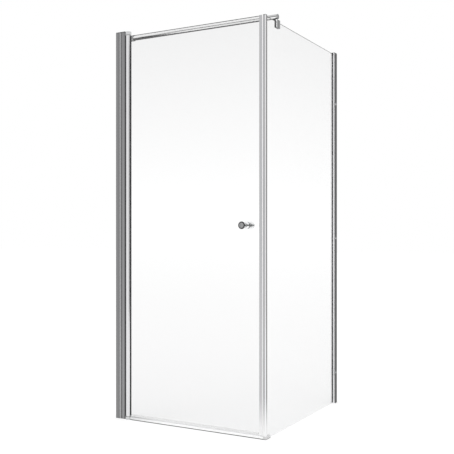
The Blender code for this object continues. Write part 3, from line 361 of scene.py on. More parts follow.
@dataclass(frozen=True)
class BarMetal(LinedMetal):
    """Polished bar with painted reflections: dark underneath, more so near the dark profile on the
    wall, and dim at its end.
    """

    shade_start: float = -0.31
    shade_end: float = -0.10
    shade_low: float = 1.9938
    shade_high: float = 1.9966
    under_low: float = 1.9882
    under_high: float = 1.9894
    dim_start: float = 0.355
    dim_end: float = 0.372
    dimming: float = 0.45

    def line(self, graph: Graph) -> Wire:
        """The painted line, which starts where the painted shade at the wall ends."""
        return super().line(graph) * graph.ramp(graph.run(), self.shade_start, self.shade_end)

    def tone(self, graph: Graph, drawn: Wire) -> Wire:
        """The metal's colour, with painted shade underneath and at both ends.

        Args:
            graph: The material's nodes.
            drawn: The pattern of the fine lines.

        Returns:
            The colour.
        """
        away = graph.ramp(graph.run(), self.shade_start, self.shade_end)
        above = graph.ramp(graph.height(), self.shade_low, self.shade_high)
        under = graph.ramp(graph.height(), self.under_low, self.under_high)
        clear = away.math("MINIMUM", away.math("MAXIMUM", away, above), under)
        dim = graph.ramp(graph.run(), self.dim_start, self.dim_end) * above * self.dimming
        return graph.fade(clear * (1 - dim), self.shade, super().tone(graph, drawn))


@dataclass(frozen=True)
class Moulded(Finish):
    """Moulded or extruded plastic and rubber, with a fine grain."""

    grain: float = 900.0
    relief: float = 0.15
    grain_gloss: float = 0.12
    mottle: float = 0.06
    mottle_grains: float = 30
    alpha: float = 1.0
    # Emission that makes a part glow though it is no lamp: a painted glow
    glow: float = 0.0
    shadow_height: float = 0.0
    shadow_share: float = 0.05

    def shader(self, graph: Graph) -> Wire:
        """Grain in relief and gloss, a faint mottle in the colour, a painted glow, and a painted
        contact shadow at the floor.

        Args:
            graph: The material's nodes.

        Returns:
            The shader.
        """
        fine = graph.noise(EVERY_WAY * self.grain, detail=4.0)
        broad = graph.noise(EVERY_WAY * self.grain / self.mottle_grains)
        dark, light = tinted(self.colour, 1 - self.mottle), tinted(self.colour, 1 + self.mottle)
        base = graph.mix(broad, dark, light)
        # Painted contact shadow: the colour darkens just above the floor
        if self.shadow_height:
            above = graph.ramp(graph.height(), self.shadow_height / 2, self.shadow_height)
            base = graph.fade(above, tinted(self.colour, self.shadow_share), base)
        return graph.principled(
            Base_Color=base,
            Roughness=(fine - NOISE_MIDDLE) * self.grain_gloss + self.roughness,
            Alpha=self.alpha,
            Emission_Color=(1, 1, 1, 1),
            Emission_Strength=self.glow,
            Normal=graph.bump(fine, self.relief),
        )


@dataclass(frozen=True)
class ClearGlass(Finish):
    """Toughened clear glass, that lets lamplight through to the floor."""

    far_shade_colour: Colour = (0.825, 0.825, 0.827)
    lamp_colour: Colour = (0.99, 0.995, 0.995)
    clear_height: float = 0.97
    bending: float = 1.5
    marks: float = 0.012
    mark_scale: tuple[float, float, float] = (60, 60, 18)
    mark_edges: tuple[float, float] = (0.62, 0.78)

    def shader(self, graph: Graph) -> Wire:
        """A faint tint, with painted shade that deepens it over a metre up and down, and dried water
        marks.

        Args:
            graph: The material's nodes.

        Returns:
            The shader.
        """
        rise = graph.height() - self.clear_height
        water = graph.ramp(graph.noise(Vector(self.mark_scale), detail=5.0), *self.mark_edges)
        pane = graph.principled(
            Base_Color=graph.mix(rise.math("ABSOLUTE", rise, 0.0), self.colour, self.far_shade_colour),
            Roughness=water * self.marks + self.roughness,
            IOR=self.bending,
            Transmission_Weight=1.0,
        )
        rays = ("Is Shadow Ray", "Is Diffuse Ray")
        shade, bounce = (graph.node("ShaderNodeLightPath", {}, {}, ray) for ray in rays)
        clear = graph.node("ShaderNodeBsdfTransparent", {}, {"Color": (*self.lamp_colour, 1)})
        lit = shade.math("MAXIMUM", shade, bounce)
        return graph.node("ShaderNodeMixShader", {}, {0: lit, 1: pane, 2: clear})


# What polished chrome has unlike drawn metal, and how far up the bright uprights are paler, a painted
# reflection of the floor
POLISHED = {"lines": 0.02, "relief": 0.008, "smudges": 0.03}
FLOOR_REFLECTION_HEIGHT = 0.22

SATIN = Metal("satin_drawn_aluminium", "satin_aluminium", (0.29, 0.29, 0.295), 0.30, bands=0.42)
# A darker copy of satin aluminium, painted shade, for the side wall's channel
SATIN_DARK = Metal("satin_aluminium_dark", "satin_aluminium", (0.07, 0.07, 0.072), 0.30, bands=0.25)
# A lighter copy of satin aluminium: a painted highlight along the hinge channel's lip
SATIN_LIP = Metal("satin_aluminium_lip", "satin_aluminium", (0.78, 0.78, 0.79), 0.20)
BRIGHT = Metal("bright_drawn_aluminium", "bright_aluminium", (0.74, 0.74, 0.75), 0.14, lines=0.05)
BRIGHT_CLOSING = Metal(
    "bright_aluminium_closing", "bright_aluminium", (0.50, 0.50, 0.51), 0.18, lines=0.08,
    floor_reflection_height=FLOOR_REFLECTION_HEIGHT,
)
BRIGHT_POST = Metal(
    "bright_aluminium_post", "bright_aluminium", (0.425, 0.425, 0.433), 0.18, lines=0.08,
    floor_reflection_height=FLOOR_REFLECTION_HEIGHT,
)
# A darker copy of bright aluminium for the post's side faces: painted shade
BRIGHT_SIDE = Metal(
    "bright_aluminium_flank", "bright_aluminium", (0.23, 0.23, 0.235), 0.18, floor_reflection_height=FLOOR_REFLECTION_HEIGHT
)
# A lighter copy of bright aluminium, a painted highlight: on the post's front corner and all over the
# side wall's jamb
BRIGHT_EDGE = Metal("bright_aluminium_edge", "bright_aluminium", (0.88, 0.88, 0.89), 0.12, lines=0.04)
# The threshold's front faces are lighter than its top, a painted highlight; both darken towards the
# wall, a painted reflection of the wall profile
BRIGHT_NOSE = WallReflectionMetal(
    "bright_aluminium_nose", "bright_aluminium", (0.93, 0.93, 0.935), 0.20, along=Axis.X, lines=0.04,
    shade=(0.73, 0.73, 0.735),
)
BRIGHT_RAIL = WallReflectionMetal(
    "bright_aluminium_rail", "bright_aluminium", (0.88, 0.88, 0.89), 0.20, along=Axis.X, lines=0.05
)
CHROME = Metal("polished_chrome", "chrome", (0.62, 0.625, 0.63), 0.05, **POLISHED)
# Knob chrome with a painted reflection: a dark horizon line across the knobs
CHROME_KNOB = LinedMetal("polished_chrome_knob", "chrome", (0.88, 0.885, 0.89), 0.05, **POLISHED)
# A lighter copy of chrome: a painted highlight on the front of the clamp's outer plate
CHROME_LIGHT = Metal("polished_chrome_light", "chrome", (0.88, 0.885, 0.89), 0.05, **POLISHED)
# A darker copy of chrome, painted shade with painted reflections of soft lamps in its bands: on the
# knobs' faces and necks, the socket, the end cap and the clamp
CHROME_DARK = Metal(
    "polished_chrome_dark", "chrome", (0.33, 0.333, 0.336), 0.06, bands=0.5, band_fineness=110.0,
    **POLISHED,
)
# A near-black copy of chrome: painted shade on the knobs' rims and the clamp's front faces
CHROME_SHADE = Metal(
    "polished_chrome_painted_shade", "chrome", (0.07, 0.07, 0.071), 0.08, lines=0.02, relief=0.008
)
CHROME_BAR = BarMetal(
    "polished_chrome_bar", "chrome", (0.978, 0.98, 0.98), 0.04, along=Axis.X, lines=0.02, relief=0.004,
    smudges=0.02, line_height=1.9967, line_half=0.0017, line_strength=0.92,
)
STEEL = Metal("turned_steel", "steel", (0.42, 0.42, 0.41), 0.30, smudges=0.10)
GLASS = ClearGlass("clear_toughened_glass", "glass", (0.97, 0.97, 0.97), 0.0)
GLASS_EDGE = Moulded("ground_glass_edge", "glass", (0.035, 0.04, 0.04), 0.22, grain=2500.0, relief=0.05)
CLEAR_SEAL = Moulded(
    "clear_soft_seal", "clear_seal", (0.96, 0.96, 0.96), 0.15, grain=500.0, relief=0.03, mottle=0.01,
    alpha=0.1,
)
DARK_WASHER = Moulded("smoked_soft_washer", "clear_seal", (0.06, 0.06, 0.061), 0.20, relief=0.05)
# The magnet strip has a painted glow that makes it brighter than its light allows
WHITE_SEAL = Moulded(
    "white_magnet_strip", "white_seal", (0.94, 0.94, 0.94), 0.42, relief=0.08, mottle=0.02, glow=0.18
)
GREY_PLASTIC = Moulded("grey_moulded_plastic", "grey_plastic", (0.075, 0.075, 0.078), 0.42)
# The foot has a painted contact shadow along its bottom
PALE_PLASTIC = Moulded(
    "pale_moulded_plastic", "grey_plastic", (0.90, 0.90, 0.90), 0.40, shadow_height=0.0028
)
DARK_SEAL = Moulded("dark_rubber_seal", "dark_seal", (0.022, 0.022, 0.024), 0.55, relief=0.2)
NYLON = Moulded("natural_nylon", "nylon", (0.70, 0.70, 0.67), 0.40)


def curve(centre: tuple[float, float], radii: tuple[float, float], start: float, end: float) -> Profile:
    """Points on an arc of an ellipse.

    Args:
        centre: Middle of the ellipse.
        radii: Its half widths, each way.
        start: Angle of the first point.
        end: Angle of the last point.

    Returns:
        The points in order.
    """
    angles = [start + (end - start) * step / CURVE_STEPS for step in range(CURVE_STEPS + 1)]
    return [(centre[0] + radii[0] * cos(angle), centre[1] + radii[1] * sin(angle)) for angle in angles]


def placed(name: str, shape: BMesh) -> Object:
    """Puts a shape into the scene as an object.

    Args:
        name: The object's name.
        shape: The shape, which is used up.

    Returns:
        The bare object.
    """
    mesh = bpy.data.meshes.new(name)
    shape.to_mesh(mesh)
    shape.free()
    obj = bpy.data.objects.new(name, mesh)
    bpy.context.scene.collection.objects.link(obj)
    return obj


def closed_up(shape: BMesh) -> BMesh:
    """Welds a shape's seams and poles, and turns its faces outwards.

    Args:
        shape: The shape.

    Returns:
        The same shape.
    """
    bmesh.ops.remove_doubles(shape, verts=shape.verts, dist=MERGE_DISTANCE)
    bmesh.ops.recalc_face_normals(shape, faces=shape.faces)
    return shape


def rounded(shape: BMesh, edges: list[BMEdge], width: float, segments: int) -> BMesh:
    """Rounds some of a shape's edges.

    Args:
        shape: The closed shape.
        edges: The edges to round.
        width: How far the rounding reaches on each side of an edge.
        segments: Number of faces across the rounding.

    Returns:
        The same shape.
    """
    bmesh.ops.bevel(
        shape, geom=edges, offset=width, offset_type="OFFSET", affect="EDGES", segments=segments,
        profile=0.5, material=-1, clamp_overlap=True,
    )
    return shape


def eased(shape: BMesh, width: float, segments: int = 2) -> BMesh:
    """Rounds a shape's sharp edges.

    Args:
        shape: The closed shape.
        width: How far the rounding reaches on each side of an edge.
        segments: Number of faces across the rounding.

    Returns:
        The same shape.
    """
    sharp = [edge for edge in shape.edges if edge.is_manifold and edge.calc_face_angle() > EASED_ANGLE]
    rounded(shape, sharp, width, segments)
    bmesh.ops.recalc_face_normals(shape, faces=shape.faces)
    return shape


def copied(node: str) -> BMesh:
    """A node's own shape, with the loose triangles made whole faces.

    Args:
        node: The node.

    Returns:
        A copy of its shape.
    """
    shape = bmesh.new()
    shape.from_mesh(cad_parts[node].data)
    bmesh.ops.remove_doubles(shape, verts=shape.verts, dist=MERGE_DISTANCE)
    bmesh.ops.dissolve_limit(
        shape, angle_limit=FLAT_ANGLE, use_dissolve_boundaries=False, verts=shape.verts,
        edges=shape.edges,
    )
    bmesh.ops.recalc_face_normals(shape, faces=shape.faces)
    return shape


def turned(profile: Profile, start: Vector, axis: Axis, steps: int = ROUND_STEPS) -> BMesh:
    """A turned shape.

    Args:
        profile: Points of (radius, distance along the axis). It closes on itself off the axis.
        start: The point of the axis from which the distances run.
        axis: The way that the axis runs.
        steps: Number of faces round the shape.

    Returns:
        The closed shape.
    """
    shape = bmesh.new()
    way = axis.vector()
    side = way.orthogonal().normalized()
    points = [shape.verts.new(start + side * radius + way * along) for radius, along in profile]
    edges = [shape.edges.new(pair) for pair in zip(points, points[1:])]
    if profile[0][0] > 0:
        edges.append(shape.edges.new((points[-1], points[0])))
    bmesh.ops.spin(
        shape, geom=[*points, *edges], cent=start, axis=way, angle=2 * pi, steps=steps, use_merge=True
    )
    return closed_up(shape)


def drilled(shape: BMesh, start: Vector, axis: Axis, radius: float, depth: float) -> BMesh:
    """A shape with a round hole in it.

    Args:
        shape: The closed shape, which is used up.
        start: Middle of the hole's mouth.
        axis: The way that the hole runs.
        radius: The hole's radius.
        depth: How far it goes.

    Returns:
        The drilled shape.
    """
    drill = [(0, 0), (radius, 0), (radius, depth), (0, depth)]
    bit = placed("bit", turned(drill, start, axis, SMALL_STEPS))
    stock = placed("stock", shape)
    hole = stock.modifiers.new("hole", "BOOLEAN")
    hole.operation = "DIFFERENCE"
    hole.solver = "EXACT"
    hole.object = bit
    result = bmesh.new()
    result.from_object(stock, bpy.context.evaluated_depsgraph_get())
    for solid in (stock, bit):
        bpy.data.objects.remove(solid, do_unlink=True)
    return closed_up(result)


def piece(
    name: str, shape: BMesh, finish: Finish, body: Body, *nodes: str, more: tuple[Finish, ...] = ()
) -> Object:
    """Makes a shape one piece of the scene.

    Args:
        name: The piece's name.
        shape: Its shape, in place, which is used up.
        finish: What it wears.
        body: What it moves with.
        nodes: The nodes that it stands for.
        more: Finishes of the faces with a material number of 1 or more.

    Returns:
        The dressed object.
    """
    obj = placed(name, shape)
    for worn in (finish, *more):
        obj.data.materials.append(worn.material())
    obj.data.shade_smooth()
    obj.data.set_sharp_from_angle(angle=SMOOTH_ANGLE)
    normals = obj.modifiers.new("normals", "WEIGHTED_NORMAL")
    normals.keep_sharp = True
    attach(obj, body.value)
    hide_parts(*nodes)
    return obj


def refined(node: str, finish: Finish, body: Body, edge: float, segments: int = 2) -> Object:
    """A node's own shape with eased edges, in a piece that stands for it."""
    return piece(f"{node}_eased", eased(copied(node), edge, segments), finish, body, node)


def edged(node: str, finish: Finish, line: Finish, edge: float, width: float) -> Object:
    """A frame profile with a band in another finish along its front right edge, a painted highlight.

    Args:
        node: The profile's node.
        finish: The finish of the whole.
        line: The finish of the band, lighter for the painted highlight.
        edge: How far the edges are rounded.
        width: How wide the band is.

    Returns:
        The dressed object.
    """
    shape = copied(node)
    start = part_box(node)[1].x - width
    everything = [*shape.verts, *shape.edges, *shape.faces]
    bmesh.ops.bisect_plane(shape, geom=everything, plane_co=(start, 0, 0), plane_no=Axis.X.vector())
    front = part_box(node)[0].y + width
    for face in shape.faces:
        centre = face.calc_center_median()
        looks_out = face.normal.dot(Axis.FRONT.vector()) > OUTWARD_COSINE
        face.material_index = int(centre.x > start and centre.y < front and looks_out)
    return piece(f"{node}_eased", eased(shape, edge), finish, Body.FRAME, node, more=(line,))


def proud(node: str, way: Axis, reach: float) -> BMesh:
    """A node's own shape, whose end on one side stands out further.

    Args:
        node: The node.
        way: The side that stands out.
        reach: How much further it stands out.

    Returns:
        The longer shape.
    """
    shape = copied(node)
    side = way.vector()
    end = max(vert.co.dot(side) for vert in shape.verts)
    for vert in shape.verts:
        if vert.co.dot(side) > end - GAP:
            vert.co += side * reach
    return shape


def accented(obj: Object, finish: Finish, axis: Axis) -> Object:
    """Gives the faces that look one way another finish, unless they have one already: a lighter or
    darker copy, which paints a highlight or shade on that side.

    Args:
        obj: The piece.
        finish: The finish of those faces.
        axis: The way that they look.

    Returns:
        The same piece.
    """
    obj.data.materials.append(finish.material())
    way = axis.vector()
    for face in obj.data.polygons:
        if face.material_index == 0 and face.normal.dot(way) > FACING_COSINE:
            face.material_index = len(obj.data.materials) - 1
    return obj


def kept(node: str, finish: Finish) -> Object:
    """Dresses a node whose own shape is right.

    Args:
        node: The node.
        finish: What it wears.

    Returns:
        The node's own object.
    """
    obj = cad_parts[node]
    for slot in obj.material_slots:
        slot.material = finish.material()
    return obj


def middle(node: str) -> Vector:
    """The middle of a node's box."""
    low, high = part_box(node)
    return (low + high) / 2


@dataclass
class WallProfiles:
    """The channel on one wall, the jamb in it, their cap and the covers of their screws."""

    side: str
    outward: Axis
    channel: Metal
    lip: Metal
    jamb: Metal
    edge: float = 0.0003
    lip_band: float = 0.0022
    cap_edge: float = 0.0006
    cover_wall: float = 0.001
    cover_rim: float = 0.0009

    def cover(self, number: int) -> Object:
        """A hollow, domed cover over one screw.

        Args:
            number: The screw's number.

        Returns:
            The cover.
        """
        node = f"{self.side}_screw_cover_{number}"
        low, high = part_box(node)
        way = self.outward.vector()
        height = (high - low).dot(way)
        radius = (high - low).z / 2
        dome = height - self.cover_rim
        outer = curve((0, self.cover_rim), (radius, dome), pi / 2, 0)
        inner_size = (radius - self.cover_wall, dome - self.cover_wall)
        inner = curve((0, self.cover_rim), inner_size, 0, pi / 2)
        profile = [*outer, (radius, 0), (radius - self.cover_wall, 0), *inner]
        profile[0] = (0, height)
        profile[-1] = (0, height - self.cover_wall)
        shape = turned(profile, middle(node) - way * height / 2, self.outward, SMALL_STEPS)
        return piece(f"{node}_domed", shape, CHROME, Body.FRAME, node)

    def build(self) -> list[Object]:
        """Builds the profiles, the cap, and each screw under its cover.

        Returns:
            The pieces.
        """
        made = [
            edged(f"{self.side}_wall_channel", self.channel, self.lip, self.edge, self.lip_band),
            refined(f"{self.side}_jamb", self.jamb, Body.FRAME, self.edge),
            refined(f"{self.side}_top_cap", GREY_PLASTIC, Body.FRAME, self.cap_edge),
        ]
        for number in (1, 2, 3):
            made.append(kept(f"{self.side}_lock_screw_{number}", STEEL))
            made.append(self.cover(number))
        return made


@dataclass
class Hinge:
    """The round upright of the door, and the pivots above and below it."""

    tube_wall: float = 0.0022
    tube_edge: float = 0.0003
    housing_edge: float = 0.0006
    seal_edge: float = 0.0006
    lip_reach: float = 0.0022

    def tube(self) -> Object:
        """The tube, open along a slot for the glass.

        Returns:
            The tube.
        """
        low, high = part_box("hinge_tube")
        seat_low, seat_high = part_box("tube_gasket")
        radius = (high - low).y / 2
        slot_half = (seat_high - seat_low).y / 2 + GAP
        opening = asin(slot_half / radius)
        axis = Vector((low.x + radius, (low.y + high.y) / 2, 0))
        side = Vector((cos(opening), sin(opening), 0))
        inner = radius - self.tube_wall
        section = [(inner, low.z), (radius, low.z), (radius, high.z), (inner, high.z)]
        shape = bmesh.new()
        corners = [shape.verts.new(axis + side * reach + Vector((0, 0, z))) for reach, z in section]
        wall = shape.faces.new(corners)
        bmesh.ops.spin(
            shape, geom=[*shape.verts, *shape.edges, wall], cent=axis, axis=Axis.Z.vector(),
            angle=2 * (pi - opening), steps=ROUND_STEPS,
        )
        shape = eased(closed_up(shape), self.tube_edge)
        return piece("hinge_tube_drawn", shape, BRIGHT, Body.DOOR, "hinge_tube")

    def gasket(self) -> Object:
        """The gasket round the glass in the tube's slot, whose soft lip lies on the glass."""
        shape = eased(proud("tube_gasket", Axis.X, self.lip_reach), GAP / 2)
        return piece("tube_gasket_lipped", shape, DARK_SEAL, Body.DOOR, "tube_gasket")

    def build(self) -> list[Object]:
        """Builds the tube, its pivots and the seals beside it.

        Returns:
            The pieces.
        """
        made = [self.tube(), self.gasket()]
        for end in ("top", "bottom"):
            housing = refined(f"{end}_pivot_housing", CHROME, Body.FRAME, self.housing_edge, segments=3)
            made.append(housing)
            made.append(kept(f"{end}_pivot_bush", NYLON))
            made.append(kept(f"{end}_pivot_pin", STEEL))
            made.append(kept(f"tube_{end}_plug", GREY_PLASTIC))
        made.append(refined("hinge_gap_seal", DARK_SEAL, Body.FRAME, self.seal_edge))
        return made


@dataclass
class Pane:
    """A pane of toughened glass whose free edge, the top one, is ground round."""

    node: str
    body: Body
    rounding: float = 0.0028
    segments: int = 4

    def build(self) -> list[Object]:
        """Builds the pane, with another finish on its ground edge.

        Returns:
            The pane.
        """
        shape = copied(self.node)
        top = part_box(self.node)[1].z - GAP
        rim = [edge for edge in shape.edges if min(vert.co.z for vert in edge.verts) > top]
        rounded(shape, rim, self.rounding, self.segments)
        for face in shape.faces:
            face.material_index = int(face.normal.z > OUTWARD_COSINE)
        return [piece(f"{self.node}_pane", shape, GLASS, self.body, self.node, more=(GLASS_EDGE,))]


@dataclass
class DoorEdges:
    """The profile with the magnet on the door's closing edge, and the seal under the door."""

    edge: float = 0.0003
    seal_edge: float = 0.0003
    magnet_reach: float = 0.0016

    def build(self) -> list[Object]:
        """Builds the closing profile, its magnet strip and the bottom seal.

        Returns:
            The pieces.
        """
        magnet = eased(proud("door_magnet_strip", Axis.FRONT, self.magnet_reach), self.seal_edge)
        return [
            refined("closing_profile", BRIGHT_CLOSING, Body.DOOR, self.edge),
            piece("door_magnet_strip_eased", magnet, WHITE_SEAL, Body.DOOR, "door_magnet_strip"),
            refined("door_bottom_seal", CLEAR_SEAL, Body.DOOR, self.seal_edge),
        ]


@dataclass
class Knobs:
    """The outer and inner knob, turned from bar, on one bolt through the glass."""

    disc_radius: float = 0.018
    disc_thickness: float = 0.009
    face_radius: float = 0.0122
    rim: float = 0.0035
    neck_radius: float = 0.0085
    neck_band: float = 0.0015
    neck_length: float = 0.008
    flange_thickness: float = 0.003
    bore_radius: float = 0.0033
    bore_depth: float = 0.018
    grub_setback: float = 0.0035
    grub_radius: float = 0.0023
    edge: float = 0.0003
    gasket_bore: float = 0.005
    gasket_edge: float = 0.0002

    def profile(self, length: float, flange_radius: float) -> Profile:
        """Half of the outline, from the face of the disc to the bore for the bolt.

        Args:
            length: The knob's length.
            flange_radius: The radius of its seat on the glass.

        Returns:
            Points of (radius, distance from the seat).
        """
        back = length - self.disc_thickness
        high = (back + self.flange_thickness + self.neck_length) / 2
        low = high - self.neck_length
        waist = self.disc_radius - self.neck_radius
        foot = flange_radius - self.neck_radius
        rim_centre = (self.disc_radius - self.rim, length - self.rim)
        under = curve((self.disc_radius, high), (waist, back - high), pi / 2, pi)
        above = curve((flange_radius, low), (foot, low - self.flange_thickness), pi, 3 * pi / 2)
        return [
            (0, length),
            (self.face_radius, length),
            *curve(rim_centre, (self.rim, self.rim), pi / 2, 0),
            *under,
            *above,
            (flange_radius, 0),
            (self.bore_radius, 0),
            (self.bore_radius, self.bore_depth),
            (0, self.bore_depth),
        ]

    def knob(self, side: str, way: Axis) -> Object:
        """One knob, whose seat lies on its washer.

        Args:
            side: The side of the door, outer or inner.
            way: The way that the knob stands out of the glass.

        Returns:
            The knob.
        """
        node, ahead = f"{side}_knob", way.vector()
        low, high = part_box(node)
        length = (high - low).y
        start = middle(node) - ahead * length / 2
        shape = eased(turned(self.profile(length, (high - low).x / 2), start, way), self.edge)
        if way is Axis.Y:
            mouth = start + ahead * (self.bore_depth - self.grub_setback)
            mouth.z -= self.disc_radius
            shape = drilled(shape, mouth, Axis.Z, self.grub_radius, self.disc_radius)
        # Painted reflections: darker chrome on the face and round the neck, near-black chrome on the
        # rim
        dark, shaded = 1, 2
        for face in shape.faces:
            place = face.calc_center_median() - start
            along = place.dot(ahead)
            reach = (place - ahead * along).length
            on_face = along > length - GAP and reach < self.face_radius
            if on_face or reach < self.neck_radius + self.neck_band:
                face.material_index = dark
            elif along > length - self.rim:
                face.material_index = shaded
        finishes = (CHROME_DARK, CHROME_SHADE)
        return piece(f"{node}_turned", shape, CHROME_KNOB, Body.DOOR, node, more=finishes)

    def washer(self, side: str) -> Object:
        """The smoked washer between a knob and the glass.

        Args:
            side: The side of the door, outer or inner.

        Returns:
            The washer.
        """
        node, bore = f"{side}_knob_gasket", self.gasket_bore
        low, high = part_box(node)
        radius, thickness = (high - low).x / 2, (high - low).y
        start = middle(node) - Axis.Y.vector() * thickness / 2
        ring = [(radius, 0), (radius, thickness), (bore, thickness), (bore, 0)]
        shape = eased(turned(ring, start, Axis.Y), self.gasket_edge)
        return piece(f"{side}_knob_washer", shape, DARK_WASHER, Body.DOOR, node)

    def build(self) -> list[Object]:
        """Builds both knobs with their washers, bolt and set screw.

        Returns:
            The pieces.
        """
        made = [kept("knob_bolt", STEEL), kept("knob_grub_screw", STEEL)]
        for side, way in (("outer", Axis.FRONT), ("inner", Axis.Y)):
            made += [self.knob(side, way), self.washer(side)]
        return made


@dataclass
class CornerPost:
    """The post between the door and the side panel, from its foot to its cap."""

    edge: float = 0.0003
    corner_band: float = 0.0042
    cap_edge: float = 0.0005
    magnet_reach: float = 0.0016

    def build(self) -> list[Object]:
        """Builds the post, its magnet strip, gasket, cap and foot.

        Returns:
            The pieces.
        """
        # Painted highlight along the post's front corner, painted shade on its side faces
        post = edged("corner_post", BRIGHT_POST, BRIGHT_EDGE, self.edge, self.corner_band)
        magnet = eased(proud("post_magnet_strip", Axis.FRONT, self.magnet_reach), self.edge)
        return [
            accented(post, BRIGHT_SIDE, Axis.X),
            piece("post_magnet_strip_eased", magnet, WHITE_SEAL, Body.FRAME, "post_magnet_strip"),
            refined("corner_gasket", CLEAR_SEAL, Body.FRAME, self.edge / 2),
            refined("corner_post_cap", GREY_PLASTIC, Body.FRAME, self.cap_edge),
            refined("corner_foot", PALE_PLASTIC, Body.FRAME, self.cap_edge),
        ]


@dataclass
class LowRails:
    """The threshold under the door, and the gaskets and strip of the side panel."""

    edge: float = 0.0005
    seal_edge: float = 0.0004

    def build(self) -> list[Object]:
        """Builds the threshold on its strip, and the side panel's seals.

        Returns:
            The pieces.
        """
        # Painted highlight on the rail's front faces, and a painted reflection of the wall profile
        # towards the hinge wall
        rail = refined("threshold_rail", BRIGHT_RAIL, Body.FRAME, self.edge)
        return [
            accented(rail, BRIGHT_NOSE, Axis.FRONT),
            refined("threshold_base_strip", DARK_SEAL, Body.FRAME, self.seal_edge),
            refined("side_bottom_strip", CLEAR_SEAL, Body.FRAME, self.seal_edge),
            refined("side_outer_gasket", DARK_SEAL, Body.FRAME, self.seal_edge),
            refined("side_inner_gasket", CLEAR_SEAL, Body.FRAME, self.seal_edge),
        ]


@dataclass
class StabiliserBar:
    """The bar from the hinge wall to the side panel, with its wall socket and end cap."""

    bar_wall: float = 0.0015
    socket_wall: float = 0.0027
    socket_base: float = 0.003
    screw_hole: float = 0.0025
    grub_share: float = 0.68
    grub_radius: float = 0.0023
    cap_thickness: float = 0.0015
    edge: float = 0.0004
    socket_edge: float = 0.0009

    def socket(self) -> Object:
        """The cup on the wall that holds the bar.

        Returns:
            The socket.
        """
        node = "bar_wall_socket"
        low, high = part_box(node)
        radius, length = (high - low).z / 2, (high - low).x
        bore = radius - self.socket_wall
        start = middle(node)
        start.x = low.x
        cup = [
            (radius, length),
            (radius, 0),
            (self.screw_hole, 0),
            (self.screw_hole, self.socket_base),
            (bore, self.socket_base),
            (bore, length),
        ]
        shape = eased(turned(cup, start, Axis.X), self.socket_edge, segments=3)
        mouth = start + Vector((self.grub_share * length, 0, -radius - self.socket_wall))
        shape = drilled(shape, mouth, Axis.Z, self.grub_radius, radius)
        return piece(f"{node}_turned", shape, CHROME_DARK, Body.FRAME, node)

    def bar(self) -> Object:
        """The bar itself, a polished tube.

        Returns:
            The bar.
        """
        node = "stabiliser_bar"
        low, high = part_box(node)
        radius, length = (high - low).z / 2, (high - low).x
        start = middle(node)
        start.x = low.x
        inner = radius - self.bar_wall
        wall = [(radius, 0), (radius, length), (inner, length), (inner, 0)]
        shape = eased(turned(wall, start, Axis.X), self.edge)
        return piece(f"{node}_drawn", shape, CHROME_BAR, Body.FRAME, node)

    def end_cap(self) -> Object:
        """The cap that closes the bar's free end.

        Returns:
            The cap.
        """
        node = "bar_end_cap"
        low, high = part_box(node)
        radius, length = (high - low).z / 2, (high - low).x
        start = middle(node)
        start.x = high.x - length
        plug = radius - self.bar_wall - GAP
        face = length - self.cap_thickness
        profile = [(0, length), (radius, length), (radius, face), (plug, face), (plug, 0), (0, 0)]
        shape = eased(turned(profile, start, Axis.X), self.edge, segments=3)
        return piece(f"{node}_turned", shape, CHROME_DARK, Body.FRAME, node)

    def build(self) -> list[Object]:
        """Builds the socket, bar and end cap."""
        return [self.socket(), kept("socket_grub_screw", STEEL), self.bar(), self.end_cap()]


@dataclass
class GlassClamp:
    """The clamp on the side panel's top edge, and the stud that joins it to the bar."""

    edge: float = 0.0008
    stud_radius: float = 0.002
    stud_set: float = 0.006
    stud_reach: float = 0.005

    def stud(self) -> Object:
        """The turned stud between the clamp and the bar.

        Returns:
            The stud.
        """
        node = "clamp_stud"
        low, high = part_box(node)
        neck, length = (high - low).x / 2, (high - low).z
        start = middle(node)
        start.z = low.z
        foot, head = self.stud_set + GAP, length - self.stud_reach - GAP
        profile = [
            (0, 0),
            (self.stud_radius, 0),
            (self.stud_radius, foot),
            (neck, foot),
            (neck, head),
            (self.stud_radius, head),
            (self.stud_radius, length),
            (0, length),
        ]
        shape = eased(turned(profile, start, Axis.Z, SMALL_STEPS), self.edge / 4)
        return piece(f"{node}_turned", shape, CHROME, Body.FRAME, node)

    def build(self) -> list[Object]:
        """Builds the clamp, its pads, screw and stud.

        Returns:
            The pieces.
        """
        # Painted highlight on the outer plate's front, painted shade on the clamp's other front faces
        outer_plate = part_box("glass_clamp")[1].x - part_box("side_glass")[1].x
        clamp = edged("glass_clamp", CHROME_DARK, CHROME_LIGHT, self.edge, outer_plate)
        return [
            accented(clamp, CHROME_SHADE, Axis.FRONT),
            kept("clamp_outer_pad", DARK_WASHER),
            kept("clamp_inner_pad", DARK_WASHER),
            kept("clamp_screw", STEEL),
            self.stud(),
        ]


@dataclass(frozen=True)
class Lamp:
    """A soft square lamp that faces the middle of the object."""

    name: str
    place: Vector
    size: float
    power: float
    aim: Vector = Vector((0, 0, 1))

    def build(self) -> None:
        """Hangs the lamp, which shows neither in gloss nor through glass."""
        light = bpy.data.lights.new(self.name, "AREA")
        light.shape = "SQUARE"
        light.size = self.size
        light.energy = self.power
        lamp = bpy.data.objects.new(self.name, light)
        lamp.location = self.place
        lamp.rotation_euler = (self.aim - self.place).to_track_quat("-Z", "Y").to_euler()
        lamp.visible_glossy = False
        lamp.visible_transmission = False
        bpy.context.scene.collection.objects.link(lamp)


